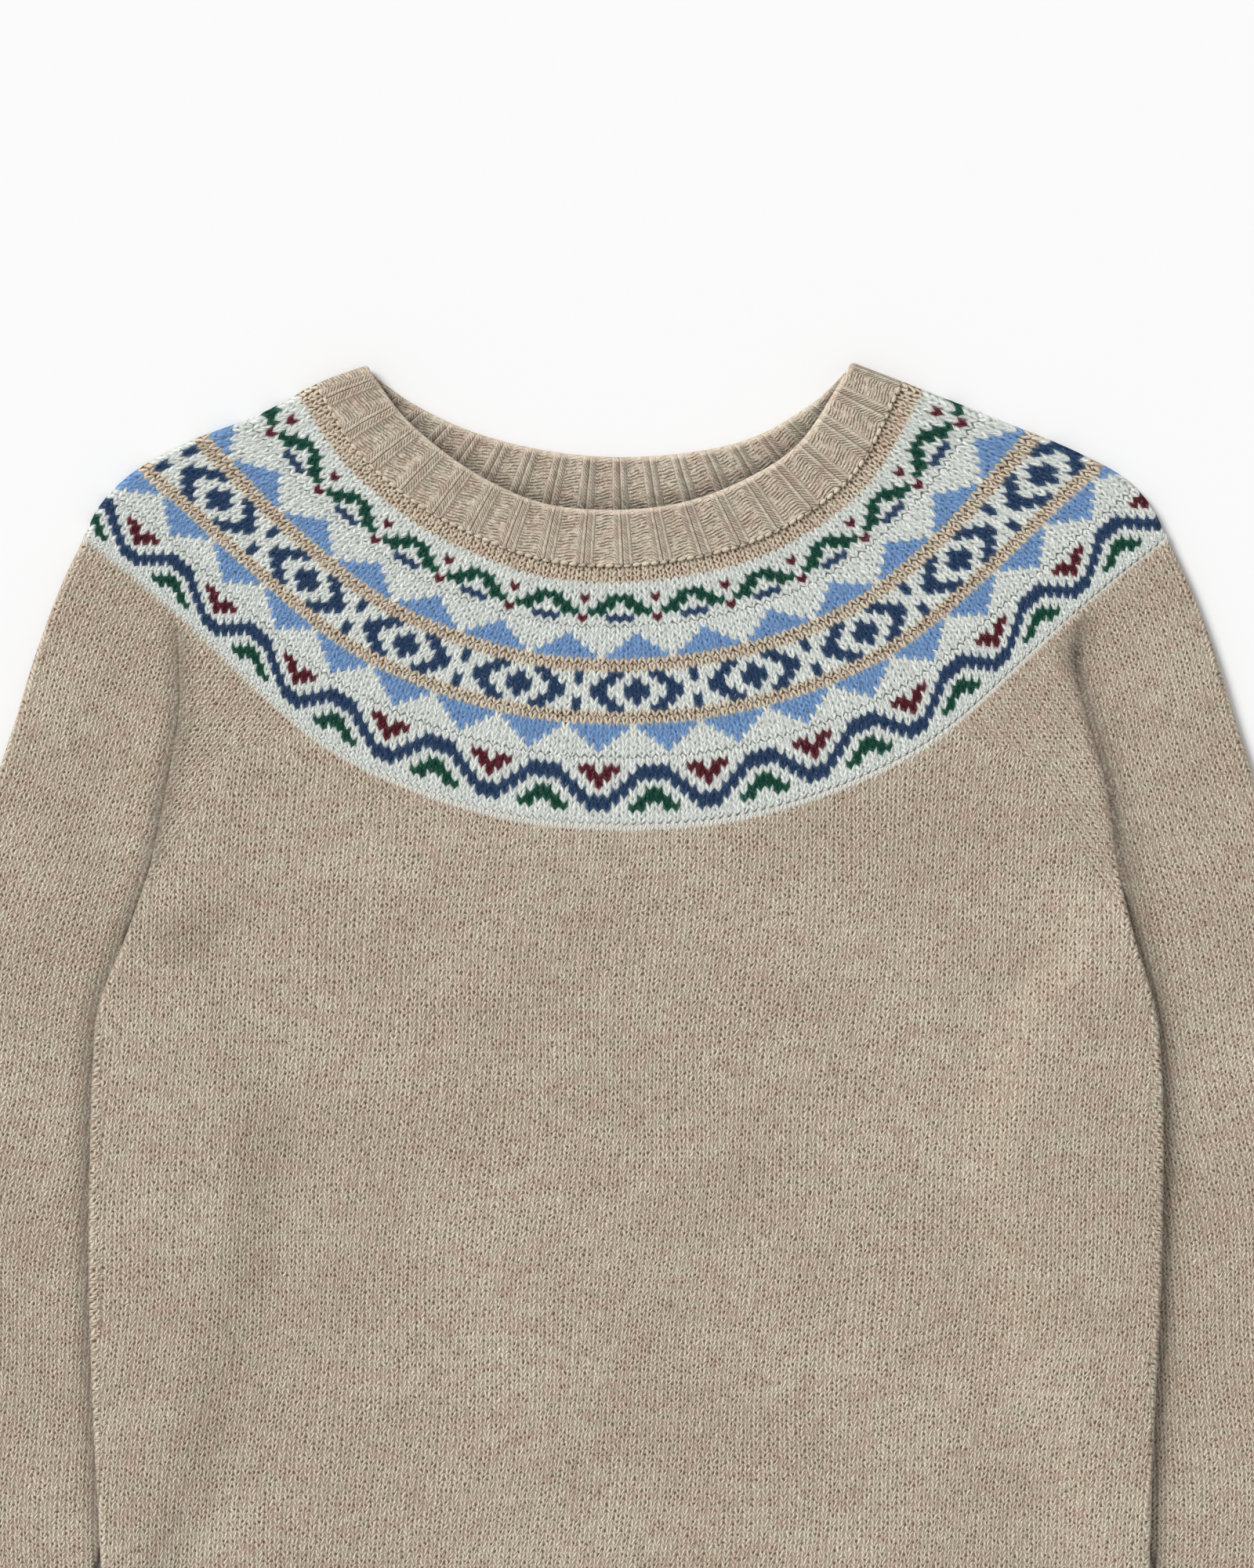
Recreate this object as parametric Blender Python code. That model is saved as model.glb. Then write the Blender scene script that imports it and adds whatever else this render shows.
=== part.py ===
"""A fair isle jumper laid flat on its back, front up, sleeves down beside the body.

Every piece is a wall of knitted cloth. The surface through the middle of the cloth is worked out
from the garment's outline and its folds, and the wall stands half its thickness to each side.
Lengths in this file are millimetres, and MM turns them into metres when a mesh is made.
X runs across the garment, Y runs from hem to neck and Z is up, with the cloth resting on Z = 0.
A side is -1 for the left of this view and 1 for the right.
"""

import math

import bpy
import numpy as np

COLLECTION = "Fair isle jumper"
MM = 0.001
SIDES = (-1, 1)
SIDE_NAMES = {-1: "left", 1: "right"}

# The cloth: one layer, the air between front and back, and the gap left at every seam
KNIT = 2.6
AIR = 0.6
SEAM = 0.3
BACK_LEVEL = KNIT / 2
FRONT_LEVEL = KNIT * 1.5 + AIR
LAYERS = KNIT * 2 + AIR
QUARTER_TURN = (LAYERS - KNIT - SEAM) / 2

# Ribbing: where the low, rising, raised and falling lines of one rib lie, and how high they are
RIB_RISE = 0.9
RIB_SHARES = (0.0, 0.10, 0.38, 0.48)
RIB_HEIGHTS = (0.0, RIB_RISE, RIB_RISE, 0.0)
NECK_RIBS = 18
HEM_RIBS = 32
CUFF_RIBS = 6

# The neckband, knitted double: the front half lies on the ribs inside the back half
BAND = 3.6
BAND_BACK_LEVEL = BAND / 2
BAND_FRONT_LEVEL = BAND + RIB_RISE + SEAM + BAND / 2
YOKE_RISE = BAND_FRONT_LEVEL - BAND / 2 + KNIT / 2 - FRONT_LEVEL
YOKE_RISE_REACH = 0.3
YOKE_LENGTH = 118
# Round the band's section: row of BAND_ROWS, and share of half its thickness to the outside
BAND_ROWS = (0, 0.022, 0.08, 0.55, 1)
BAND_SECTION = [(4, 1), (3, 1), (2, 1), (1, 0.72), (0, 0), (1, -0.72), (2, -1), (3, -1), (4, -1)]

# Lengths below the yoke
UNDERARM_Y = 101
BODY_END_Y = -244
HEM_END_Y = -298
SLEEVE_END_Y = -270
CUFF_END_Y = -329.9
CUFF_OUTER_X = (338, 334, 333)
CUFF_INNER_X = (252, 255, 255.5)
HEM_X = (239.6, 236.8, 237.5)

# Where each sleeve is tucked under the body, the body is lifted clear of it
LIFT = LAYERS + 2 * SEAM
LIFT_START_Y = 100
LIFT_FULL_Y = 71
LIFT_FADE_Y = (-215, -268)
LIFT_MARGIN = 10
LIFT_WIDTH = 36
TUCK_GAP = 0.5

# How far the edges at the armhole seam turn down into the crease, as a share of a quarter turn
CREASE_BEND = 0.3
FLAT_BEND = 0.02
BEND_START_Y = 112
BEND_FULL_Y = 92
FOLD_STEPS = 5
EDGE_STEPS = 3

# The neckband's edges, x and y, between the folds at its two ends
COLLAR_TIP = {-1: (-118.1, 329.4), 1: (103.3, 330.8)}
BAND_FOOT = {-1: (-141.5, 320.8), 1: (126.7, 321.8)}
FRONT_NECK_TOP = [
    (-99, 303), (-71.3, 281.2), (-40, 266.5), (-7.6, 262.8), (25, 266), (54.7, 276.8), (80, 294),
]
FRONT_NECK_FOOT = [
    (-123, 290), (-98, 267.5), (-71.3, 252.4), (-40, 240.6), (-7.6, 237.2),
    (27, 240.3), (58, 248.3), (86, 263.3), (108, 284),
]
BACK_NECK_TOP = [
    (-98, 312), (-71.3, 299.2), (-40, 290.8), (-7.6, 287.3), (27, 289), (58, 296), (86, 312),
]
BACK_NECK_FOOT = [
    (-118, 296), (-86, 275), (-47, 264), (-7.6, 260.3), (34, 262), (70, 271), (102, 292),
]

# The fold over each shoulder, from the neckband to the end of the yoke
SHOULDER = {
    -1: [(-168.1, 306.7), (-199.1, 294.8), (-224.3, 281.2), (-240.5, 265.7)],
    1: [(152.3, 311.8), (180.7, 300.6), (206.3, 289.8), (227.5, 278.6), (240.5, 265.7)],
}
YOKE_END = (248.4, 250.2)

# The yoke's lower edge: distance from the middle, y on the front, y on the back
YOKE_EDGE = [
    (0, 118.1, 141), (40, 120.8, 143), (80, 130, 150), (120, 146, 162),
    (150, 165, 178), (190, 201.5, 207), (220, 228, 230),
]

# The fold down the outside of each sleeve: y, distance from the middle
SLEEVE_FOLD = [
    (225.4, 260), (194.8, 271.2), (166, 280), (142.6, 287.6), (90, 303.5), (29, 317.9),
    (-43, 329.8), (-115, 337), (-223, 341.3), (SLEEVE_END_Y, CUFF_OUTER_X[0]),
]

# The armhole crease and below it the side fold of the body: y, left x, right x
ARMHOLE_X = {-1: -205.2, 1: 206.6}
BODY_SIDE = [
    (191, -204.1, 207.0), (169, -204.8, 213.0), (137, -210.2, 221.5), (119, -216.0, 225.5),
    (UNDERARM_Y, -220.3, 229.8), (91, -224.5, 232.2), (81, -228.6, 234.5), (LIFT_FULL_Y, -231.9, 236.6),
    (58, -235.8, 239.3), (37, -241.6, 242.8), (11, -244.8, 245.4), (-26, -246.3, 246.6),
    (-88, -247.0, 246.6), (-150, -245.9, 244.8), (-187, -243.6, 243.1), (-223, -240.6, 241.0),
    (BODY_END_Y, -HEM_X[0], HEM_X[0]),
]

# The sleeve's inner fold below the point where it dives under the body: y, distance from the middle
SLEEVE_TUCK = [
    (58, 229.5), (42, 216), (20, 204.5), (-3, 197.8), (-30, 195.5), (-79, 201),
    (-151, 219), (-190, 231.5), (-223, 242.5), (SLEEVE_END_Y, CUFF_INNER_X[0]),
]

# Soft swells of the front: x, y, reach across, reach along, height
BODY_SWELLS = [
    (-172, 112, 34, 56, 1.2), (182, 110, 34, 56, 1.2), (-212, 0, 30, 95, 0.8),
    (214, -40, 30, 110, 0.8), (10, -50, 140, 110, 0.9),
]
SLEEVE_SWELLS = [
    (-236, 172, 28, 52, 1.3), (243, 172, 28, 52, 1.3), (-286, 20, 26, 110, 0.9), (286, -10, 26, 110, 0.9),
]
WINDOW = 0.12

# Shares of each panel's width or length at which its points lie
YOKE_ROWS = (0, 0.08, 0.2, 0.33, 0.5, 0.66, 0.83, 1)
BODY_HALF = (0, 0.03, 0.06, 0.09, 0.12, 0.15, 0.19, 0.235, 0.28, 0.325, 0.37, 0.415, 0.46)
BODY_COLUMNS = np.array([*BODY_HALF, *(1 - share for share in reversed(BODY_HALF))])
SLEEVE_COLUMNS = np.array([0, 0.25, 0.5, 0.75, 1])
HEM_BACK_HALF = np.linspace(0, 0.24, 17)
HEM_BACK_COLUMNS = np.array([*HEM_BACK_HALF, 0.37, 0.5, 0.63, *(1 - HEM_BACK_HALF[::-1])])

OATMEAL = (0.47, 0.39, 0.30)
RIB_OATMEAL = (0.45, 0.37, 0.28)
YOKE_CREAM = (0.72, 0.72, 0.64)


def ease(start, end, value):
    """0 at start, 1 at end and smooth between them; start may lie above end."""
    share = np.clip((np.asarray(value, float) - start) / (end - start), 0, 1)
    return share * share * (3 - 2 * share)


# Curves in plan


def smooth(points, steps=20):
    """A close polyline on the smooth curve through the points, which are every steps-th of its own."""
    points = np.array(points, float)
    knots = np.vstack([2 * points[0] - points[1], points, 2 * points[-1] - points[-2]])
    share = np.linspace(0, 1, steps, endpoint=False)[:, None]
    spans = [
        start
        + share * (end - before) / 2
        + share**2 * (before - 2.5 * start + 2 * end - after / 2)
        + share**3 * (1.5 * (start - end) + (after - before) / 2)
        for before, start, end, after in zip(knots, knots[1:], knots[2:], knots[3:])
    ]
    return np.vstack([*spans, points[-1:]])


def shares_of(path):
    """How far along a path each of its points lies, from 0 to 1."""
    along = np.insert(np.cumsum(np.linalg.norm(np.diff(path, axis=0), axis=1)), 0, 0)
    return along / along[-1]


def at_shares(path, shares, values=None):
    """Places at shares of a path's length, or what the values of its points are there."""
    values = path if values is None else values
    return np.stack([np.interp(shares, shares_of(path), axis) for axis in values.T], axis=1)


def away_from_middle(path, side):
    """Unit normals of a path that runs from neck to hem."""
    along = np.gradient(path, axis=0)
    normal = -side * np.stack([along[:, 1], -along[:, 0]], axis=1)
    return normal / np.linalg.norm(normal, axis=1)[:, None]


def spanned(top, bottom, start, end, columns, rows):
    """Rows of plan points on a surface spanned between four edges, given by their points."""
    u, v = np.asarray(columns)[None, :, None], np.asarray(rows)[:, None, None]
    across = (1 - v) * top + v * bottom
    down = (1 - u) * start[:, None] + u * end[:, None]
    upper = (1 - u) * top[0] + u * top[-1]
    lower = (1 - u) * bottom[0] + u * bottom[-1]
    return across + down - (1 - v) * upper - v * lower


def straight(start, end, columns):
    """Rows of plan points on straight lines between two edges."""
    share = np.asarray(columns)[None, :, None]
    return (1 - share) * start[:, None] + share * end[:, None]


def trimmed(rows, length):
    """Row shares that stop half a seam short of each end of a piece this long."""
    edge = SEAM / 2 / length
    return edge + np.asarray(rows) * (1 - 2 * edge)


# Cloth in space


def raised_to(plan, level):
    """Plan points with their height."""
    return np.dstack([plan, np.broadcast_to(level, plan.shape[:2])])


def half_turn(edge, away, top, bottom):
    """Columns round a fold, from below the top layer to above the bottom one."""
    turn = math.pi * np.arange(1, FOLD_STEPS) / FOLD_STEPS
    radius = ((top - bottom) / 2)[:, None]
    middle = ((top + bottom) / 2)[:, None]
    plan = edge[:, None] + away[:, None] * (radius * np.sin(turn))[..., None]
    return raised_to(plan, middle + radius * np.cos(turn))


def turned_edge(edge, direction, level, bend, downward):
    """Columns that carry a panel's edge round by a share of a quarter turn, downward 1 or -1 for up."""
    turn = (bend * math.pi / 2)[:, None] * np.arange(1, EDGE_STEPS + 1) / EDGE_STEPS
    plan = edge[:, None] + direction[:, None] * (QUARTER_TURN * np.sin(turn))[..., None]
    return raised_to(plan, level[:, None] - downward * QUARTER_TURN * (1 - np.cos(turn)))


def normals(middle, ring):
    down = np.gradient(middle, axis=0, edge_order=2)
    if ring:
        across = (np.roll(middle, -1, axis=1) - np.roll(middle, 1, axis=1)) / 2
    else:
        across = np.gradient(middle, axis=1, edge_order=2)
    normal = np.cross(down, across)
    return normal / np.linalg.norm(normal, axis=2)[..., None]


def quads(numbers, flipped=False):
    """Faces between neighbouring rows and columns of point numbers."""
    numbers = np.asarray(numbers)
    corners = numbers[:-1, :-1], numbers[1:, :-1], numbers[1:, 1:], numbers[:-1, 1:]
    faces = np.stack(corners, axis=2).reshape(-1, 4)
    return faces[:, [0, 3, 2, 1]] if flipped else faces


def material(name, colour):
    made = bpy.data.materials.new(name)
    made.use_nodes = True
    shader = made.node_tree.nodes["Principled BSDF"]
    shader.inputs["Base Color"].default_value = (*colour, 1)
    shader.inputs["Roughness"].default_value = 0.92
    shader.inputs["Metallic"].default_value = 0
    made.diffuse_color = (*colour, 1)
    return made


def piece(name, points, faces, colour):
    mesh = bpy.data.meshes.new(name)
    mesh.from_pydata((points.reshape(-1, 3) * MM).tolist(), [], faces.tolist())
    mesh.shade_smooth()
    mesh.set_sharp_from_angle(angle=math.radians(50))
    mesh.materials.append(material(name, colour))
    made = bpy.data.objects.new(name, mesh)
    bpy.data.collections[COLLECTION].objects.link(made)


def cloth(name, middle, colour, ribs=0.0, ring=False, face_up=True):
    """A wall of knit round its middle surface, with any ribs raised on its outer face only."""
    outward = normals(middle, ring) * (1 if face_up else -1)
    rise = np.broadcast_to(ribs, middle.shape[:2])[..., None]
    points = np.stack([middle + outward * (KNIT / 2 + rise), middle - outward * KNIT / 2])
    count = middle.shape[0] * middle.shape[1]
    outer = np.arange(count).reshape(middle.shape[:2])
    if ring:
        outer = np.hstack([outer, outer[:, :1]])
    inner = outer + count
    rims = [[inner[0], outer[0]], [outer[-1], inner[-1]]]
    if not ring:
        rims += [np.stack([inner[:, 0], outer[:, 0]], 1), np.stack([outer[:, -1], inner[:, -1]], 1)]
    faces = np.vstack([quads(outer), quads(inner, flipped=True), *(quads(rim) for rim in rims)])
    piece(name, points, faces if face_up else faces[:, [0, 3, 2, 1]], colour)


def rib_columns(count):
    """Shares across a ribbed stretch, and how high the knit stands at each."""
    shares = ((np.arange(count)[:, None] + RIB_SHARES) / count).ravel()
    return np.append(shares, 1.0), np.append(np.tile(RIB_HEIGHTS, count), 0.0)


# The outline


def outer_fold(side, start, end, inset):
    """Part of the fold from collar tip to cuff, pulled in to where its turn begins, and its normals."""
    yoke_end = side * YOKE_END[0], YOKE_END[1]
    sleeve = [(side * x, y) for y, x in SLEEVE_FOLD]
    knots = [COLLAR_TIP[side], BAND_FOOT[side], *SHOULDER[side], yoke_end, *sleeve]
    named = {"tip": 0, "foot": 1, "yoke end": knots.index(yoke_end), "cuff": len(knots) - 1}
    path = smooth(knots)
    away = away_from_middle(path, side)
    steps = (len(path) - 1) // (len(knots) - 1)
    wanted = slice(named[start] * steps, named[end] * steps + 1)
    path, away = path[wanted], away[wanted]
    return path - away * inset(np.linspace(0, 1, len(path)))[:, None], away


def plain_inset(shares):
    return np.full(len(shares), LAYERS / 2)


def yoke_edge_y(layer, x):
    """The height up the garment of the yoke's lower edge: layer 1 is the front, 2 the back."""
    half = smooth([(row[0], row[layer]) for row in YOKE_EDGE] + [YOKE_END])
    return np.interp(np.abs(x), half[:, 0], half[:, 1])


def body_side(side):
    """The armhole crease and the side fold of the body."""
    top = ARMHOLE_X[side], yoke_edge_y(1, ARMHOLE_X[side])
    return np.array([top, *((left if side < 0 else right, y) for y, left, right in BODY_SIDE)])


def sleeve_inside(side):
    """The sleeve's edge at the armhole crease, then its inner fold as it goes under the body."""
    crease = body_side(side)
    crease = crease[crease[:, 1] >= LIFT_FULL_Y]
    crease[:, 0] += side * TUCK_GAP * ease(BEND_START_Y, BEND_FULL_Y, crease[:, 1])
    return np.vstack([crease, [(side * x, y) for y, x in SLEEVE_TUCK]])


def seam_edge(knots, side, layer, into):
    """Where the turn of a seamed edge begins, its direction and bend: into is -1 for the body, 1 a sleeve."""
    above = CREASE_BEND if layer == 1 else FLAT_BEND
    below = ease(BEND_START_Y, BEND_FULL_Y, knots[:, 1])
    bend = above + (1 - above) * below
    reach = (QUARTER_TURN + KNIT / 2) * np.sin(bend * math.pi / 2)
    reach = (reach + SEAM / 2 * (1 - below))[:, None]
    away = away_from_middle(smooth(knots), side)[:: len(smooth(knots)) // (len(knots) - 1)]
    edge = knots + into * away * reach
    corner_x = knots[0, 0] + into * side * reach[0, 0]
    edge[0] = corner_x, yoke_edge_y(layer, corner_x)
    top = knots[0, 0], yoke_edge_y(layer, knots[0, 0]) - SEAM
    return edge, (np.vstack([top, knots[1:]]) - edge) / reach, bend


def yoke_bottom(layer, folds):
    """The yoke's lower edge, left to right, through the corners and columns of sleeves and body."""
    xs = []
    for side in SIDES:
        body_x = seam_edge(body_side(side), side, layer, -1)[0][0, 0]
        sleeve_x = seam_edge(sleeve_inside(side), side, layer, 1)[0][0, 0]
        fold = folds[side][0][-1]
        sleeve = fold[0] + (sleeve_x - fold[0]) * SLEEVE_COLUMNS
        xs.append((body_x, sleeve))
    (left_x, left_sleeve), (right_x, right_sleeve) = xs
    body = left_x + (right_x - left_x) * BODY_COLUMNS
    x = np.concatenate([left_sleeve, body, right_sleeve[::-1]])
    y = yoke_edge_y(layer, x)
    y[0], y[-1] = folds[-1][0][-1, 1], folds[1][0][-1, 1]
    return np.stack([x, y], axis=1)


# Heights of the layers


def body_lift(plan):
    """How far the body is raised at plan points by the sleeves tucked under it."""
    x, y = plan[..., 0], plan[..., 1]
    share = np.zeros(x.shape)
    for side in SIDES:
        knots = sleeve_inside(side)
        fold_x = side * np.interp(-y, -knots[:, 1], knots[:, 0])
        share += 1 - ease(LIFT_MARGIN, LIFT_MARGIN + LIFT_WIDTH, fold_x - side * x)
    return LIFT * share * ease(LIFT_START_Y, LIFT_FULL_Y, y) * (1 - ease(*LIFT_FADE_Y, y))


def swell(swells, plan, columns):
    """The soft rise of the front at plan points, none at either end of a row."""
    x, y = plan[..., 0], plan[..., 1]
    rise = sum(
        height * np.clip(1 - ((x - at_x) / across) ** 2 - ((y - at_y) / along) ** 2, 0, 1) ** 2
        for at_x, at_y, across, along, height in swells
    )
    return rise * ease(0, WINDOW, np.minimum(columns, 1 - columns))


# The pieces


def folded_ring(tops, bottoms, folds, columns, rows, levels):
    """Rows round a ring that lies folded: front left to right, right fold, back, left fold."""
    sides = {side: at_shares(path, rows) for side, (path, _) in folds.items()}
    halves = []
    for top, bottom, shares, level in zip(tops, bottoms, columns, levels):
        top = at_shares(smooth([folds[-1][0][0], *top, folds[1][0][0]]), shares)
        plan = spanned(top, bottom, sides[-1], sides[1], shares, rows)
        halves.append(raised_to(plan, level[:, None]))
    turns = {
        side: half_turn(sides[side], at_shares(path, rows, away), *levels)
        for side, (path, away) in folds.items()
    }
    return np.hstack([halves[0], turns[1], halves[1][:, ::-1], turns[-1][:, ::-1]])


def neckband():
    """A double band of two-by-two rib, folded flat, its upper edge rolled and its lower edge linked."""
    shares, heights = rib_columns(NECK_RIBS)
    rows = trimmed(BAND_ROWS, math.dist(COLLAR_TIP[1], BAND_FOOT[1]))
    levels = np.full(len(rows), BAND_FRONT_LEVEL), np.full(len(rows), BAND_BACK_LEVEL)
    inset = (BAND_FRONT_LEVEL - BAND_BACK_LEVEL + BAND) / 2
    folds = {
        side: outer_fold(side, "tip", "foot", lambda shares: np.full(len(shares), inset))
        for side in SIDES
    }
    bottoms = [
        at_shares(smooth([folds[-1][0][-1], *foot, folds[1][0][-1]]), shares)
        for foot in (FRONT_NECK_FOOT, BACK_NECK_FOOT)
    ]
    tops = FRONT_NECK_TOP, BACK_NECK_TOP
    middle = folded_ring(tops, bottoms, folds, (shares, shares), rows, levels)
    normal = normals(middle, ring=True)
    plain, turn = np.zeros(len(heights)), np.zeros(FOLD_STEPS - 1)
    rises = {
        1: np.concatenate([heights, turn, plain, turn]),
        -1: np.concatenate([plain, turn, heights[::-1], turn]),
    }
    section = [
        middle[row] + normal[row] * (face * (BAND / 2 + rises.get(face, 0 * rises[1])))[:, None]
        for row, face in BAND_SECTION
    ]
    numbers = np.arange(len(section) * middle.shape[1]).reshape(len(section), -1)
    numbers = np.vstack([numbers, numbers[:1]])
    numbers = np.hstack([numbers, numbers[:, :1]])
    piece("neckband", np.array(section), quads(numbers, flipped=True), RIB_OATMEAL)


def yoke():
    """The patterned ring from neckband to chest, knitted round and folded over both shoulders."""

    def rise(shares):
        return YOKE_RISE * (1 - ease(0, YOKE_RISE_REACH, shares))

    rows = trimmed(YOKE_ROWS, YOKE_LENGTH)
    levels = FRONT_LEVEL + rise(rows), np.full(len(rows), BACK_LEVEL)
    folds = {
        side: outer_fold(side, "foot", "yoke end", lambda shares: (LAYERS + rise(shares)) / 2)
        for side in SIDES
    }
    bottoms = [yoke_bottom(layer, folds) for layer in (1, 2)]
    columns = [shares_of(bottom) for bottom in bottoms]
    tops = FRONT_NECK_FOOT, BACK_NECK_FOOT
    cloth("yoke", folded_ring(tops, bottoms, folds, columns, rows, levels), YOKE_CREAM, ring=True)


def panel(name, colour, plan, height, edges, face_up, ribs=0.0):
    """A front or back panel: its flat part, and both sides turned towards the other panel."""
    turned = {
        side: turned_edge(plan[:, column], direction, height[:, column], bend, 1 if face_up else -1)
        for (side, (direction, bend)), column in zip(edges.items(), (0, -1))
    }
    middle = np.hstack([turned[-1][:, ::-1], raised_to(plan, height), turned[1]])
    rise = np.pad(np.broadcast_to(ribs, plan.shape[1]), EDGE_STEPS)
    cloth(name, middle, colour, rise, face_up=face_up)


def body(name, layer, level):
    """A body panel from the yoke to the hem rib, between the armhole creases and the side folds."""
    edges = {side: seam_edge(body_side(side), side, layer, -1) for side in SIDES}
    left, right = edges[-1][0], edges[1][0]
    x = left[0, 0] + (right[0, 0] - left[0, 0]) * BODY_COLUMNS
    top = np.stack([x, yoke_edge_y(layer, x)], axis=1)
    row = [y for y, *_ in BODY_SIDE].index(UNDERARM_Y) + 1
    below = straight(left[row:], right[row:], BODY_COLUMNS)
    rows = shares_of(left[: row + 1])
    above = spanned(top, below[0], left[: row + 1], right[: row + 1], BODY_COLUMNS, rows)
    plan = np.vstack([above[:-1], below])
    plan[0, :, 1] -= SEAM / 2
    plan[-1, :, 1] += SEAM / 2
    height = level + body_lift(plan)
    if layer == 1:
        height = height + swell(BODY_SWELLS, plan, BODY_COLUMNS)
    turns = {side: edge[1:] for side, edge in edges.items()}
    panel(name, OATMEAL, plan, height, turns, face_up=layer == 1)


def hem_rib(name, level, columns, ribs, face_up):
    """The rib below a body panel; the one underneath rests flat and stays plain."""
    ys = BODY_END_Y - SEAM / 2, (BODY_END_Y + HEM_END_Y) / 2, HEM_END_Y
    inset = QUARTER_TURN + KNIT / 2
    left, right = (np.array([(side * (x - inset), y) for x, y in zip(HEM_X, ys)]) for side in SIDES)
    plan = straight(left, right, columns)
    turns = {side: (np.tile([side, 0.0], (len(ys), 1)), np.ones(len(ys))) for side in SIDES}
    panel(name, RIB_OATMEAL, plan, level + body_lift(plan), turns, face_up, ribs)


def sleeve(side):
    """A sleeve in one piece: back, outer fold and front, its seam at the crease and the inner fold."""
    outer_path, outer_away = outer_fold(side, "yoke end", "cuff", plain_inset)
    layers = []
    for layer, level in ((1, FRONT_LEVEL), (2, BACK_LEVEL)):
        inner, direction, bend = seam_edge(sleeve_inside(side), side, layer, 1)
        rows = shares_of(inner)
        outer = at_shares(outer_path, rows)
        x = outer[0, 0] + (inner[0, 0] - outer[0, 0]) * SLEEVE_COLUMNS
        top = np.stack([x, yoke_edge_y(layer, x)], axis=1)
        top[0] = outer[0]
        bottom = straight(outer[-1:], inner[-1:], SLEEVE_COLUMNS)[0]
        plan = spanned(top, bottom, outer, inner, SLEEVE_COLUMNS, rows)
        plan[0, :, 1] -= SEAM / 2
        plan[-1, :, 1] += SEAM / 2
        height = np.full(plan.shape[:2], level)
        if layer == 1:
            height = height + swell(SLEEVE_SWELLS, plan, SLEEVE_COLUMNS)
        downward = 1 if layer == 1 else -1
        edge = turned_edge(plan[:, -1], direction, height[:, -1], bend, downward)
        layers.append(np.hstack([raised_to(plan, height), edge]))
    front, back = layers
    away = at_shares(outer_path, rows, outer_away)
    fold = half_turn(front[:, 0, :2], away, front[:, 0, 2], back[:, 0, 2])
    middle = np.hstack([back[:, ::-1], fold[:, ::-1], front])
    cloth(f"sleeve_{SIDE_NAMES[side]}", middle if side < 0 else middle[:, ::-1], OATMEAL)


def cuff(side):
    """A ribbed tube below a sleeve, plain where it rests."""
    shares, heights = rib_columns(CUFF_RIBS)
    ys = SLEEVE_END_Y - SEAM / 2, (SLEEVE_END_Y + CUFF_END_Y) / 2, CUFF_END_Y
    inset = LAYERS / 2
    outer = np.array([(side * (x - inset), y) for x, y in zip(CUFF_OUTER_X, ys)])
    inner = np.array([(side * (x + inset), y) for x, y in zip(CUFF_INNER_X, ys)])
    plain = np.linspace(0, 1, CUFF_RIBS + 1)
    front = raised_to(straight(outer, inner, shares), FRONT_LEVEL)
    back = raised_to(straight(outer, inner, plain), BACK_LEVEL)
    away = np.tile([side, 0.0], (len(ys), 1))
    outer_turn = half_turn(outer, away, front[:, 0, 2], back[:, 0, 2])
    inner_turn = half_turn(inner, -away, front[:, 0, 2], back[:, 0, 2])
    middle = np.hstack([front, inner_turn, back[:, ::-1], outer_turn[:, ::-1]])
    rise = np.pad(heights, (0, middle.shape[1] - len(heights)))
    cloth(f"cuff_{SIDE_NAMES[side]}", middle, RIB_OATMEAL, rise, ring=True, face_up=side < 0)


def jumper():
    for thing in list(bpy.data.objects):
        bpy.data.objects.remove(thing)
    bpy.context.scene.collection.children.link(bpy.data.collections.new(COLLECTION))
    neckband()
    yoke()
    body("body_front", 1, FRONT_LEVEL)
    body("body_back", 2, BACK_LEVEL)
    hem_shares, hem_heights = rib_columns(HEM_RIBS)
    hem_rib("hem_rib_front", FRONT_LEVEL, hem_shares, hem_heights, face_up=True)
    hem_rib("hem_rib_back", BACK_LEVEL, HEM_BACK_COLUMNS, 0.0, face_up=False)
    for side in SIDES:
        sleeve(side)
        cuff(side)


jumper()
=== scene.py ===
"""A fair isle jumper laid flat on its back: plain body and sleeves, patterned yoke, ribbed edges.

Lengths are millimetres and MM turns them into metres when a mesh is made. X runs across the jumper,
Y from hem to neck, and the cloth rests on Z = 0. A side is -1 for the left of the view, 1 for the right.
"""

import math

import bpy
import numpy as np
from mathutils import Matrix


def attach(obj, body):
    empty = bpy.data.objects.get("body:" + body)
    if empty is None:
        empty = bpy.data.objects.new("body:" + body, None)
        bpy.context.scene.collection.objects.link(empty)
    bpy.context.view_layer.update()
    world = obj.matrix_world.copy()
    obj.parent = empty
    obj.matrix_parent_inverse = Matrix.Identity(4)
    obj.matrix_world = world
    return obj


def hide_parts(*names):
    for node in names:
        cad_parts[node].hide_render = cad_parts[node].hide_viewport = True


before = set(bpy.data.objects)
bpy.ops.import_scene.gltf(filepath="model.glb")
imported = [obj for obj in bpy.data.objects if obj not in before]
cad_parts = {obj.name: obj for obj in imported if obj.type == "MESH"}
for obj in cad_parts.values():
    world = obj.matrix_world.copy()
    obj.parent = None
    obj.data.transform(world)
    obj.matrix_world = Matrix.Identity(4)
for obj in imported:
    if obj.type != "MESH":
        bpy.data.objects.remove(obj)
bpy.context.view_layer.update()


# Body: two panels of plain knit in an oatmeal melange wool, front and back. They are knitted flat,
# shaped at the armholes, and sewn to each other at the sides. The front lies on the back, and both
# rise over the sleeves that are tucked under their side edges.

MM = 0.001
SIDES = (-1, 1)
SIDE_NAMES = {-1: "left", 1: "right"}
# Thickness of the cloth, the air between its two layers, and the gap at a seam
KNIT = 2.6
AIR = 0.6
SEAM = 0.3
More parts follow.
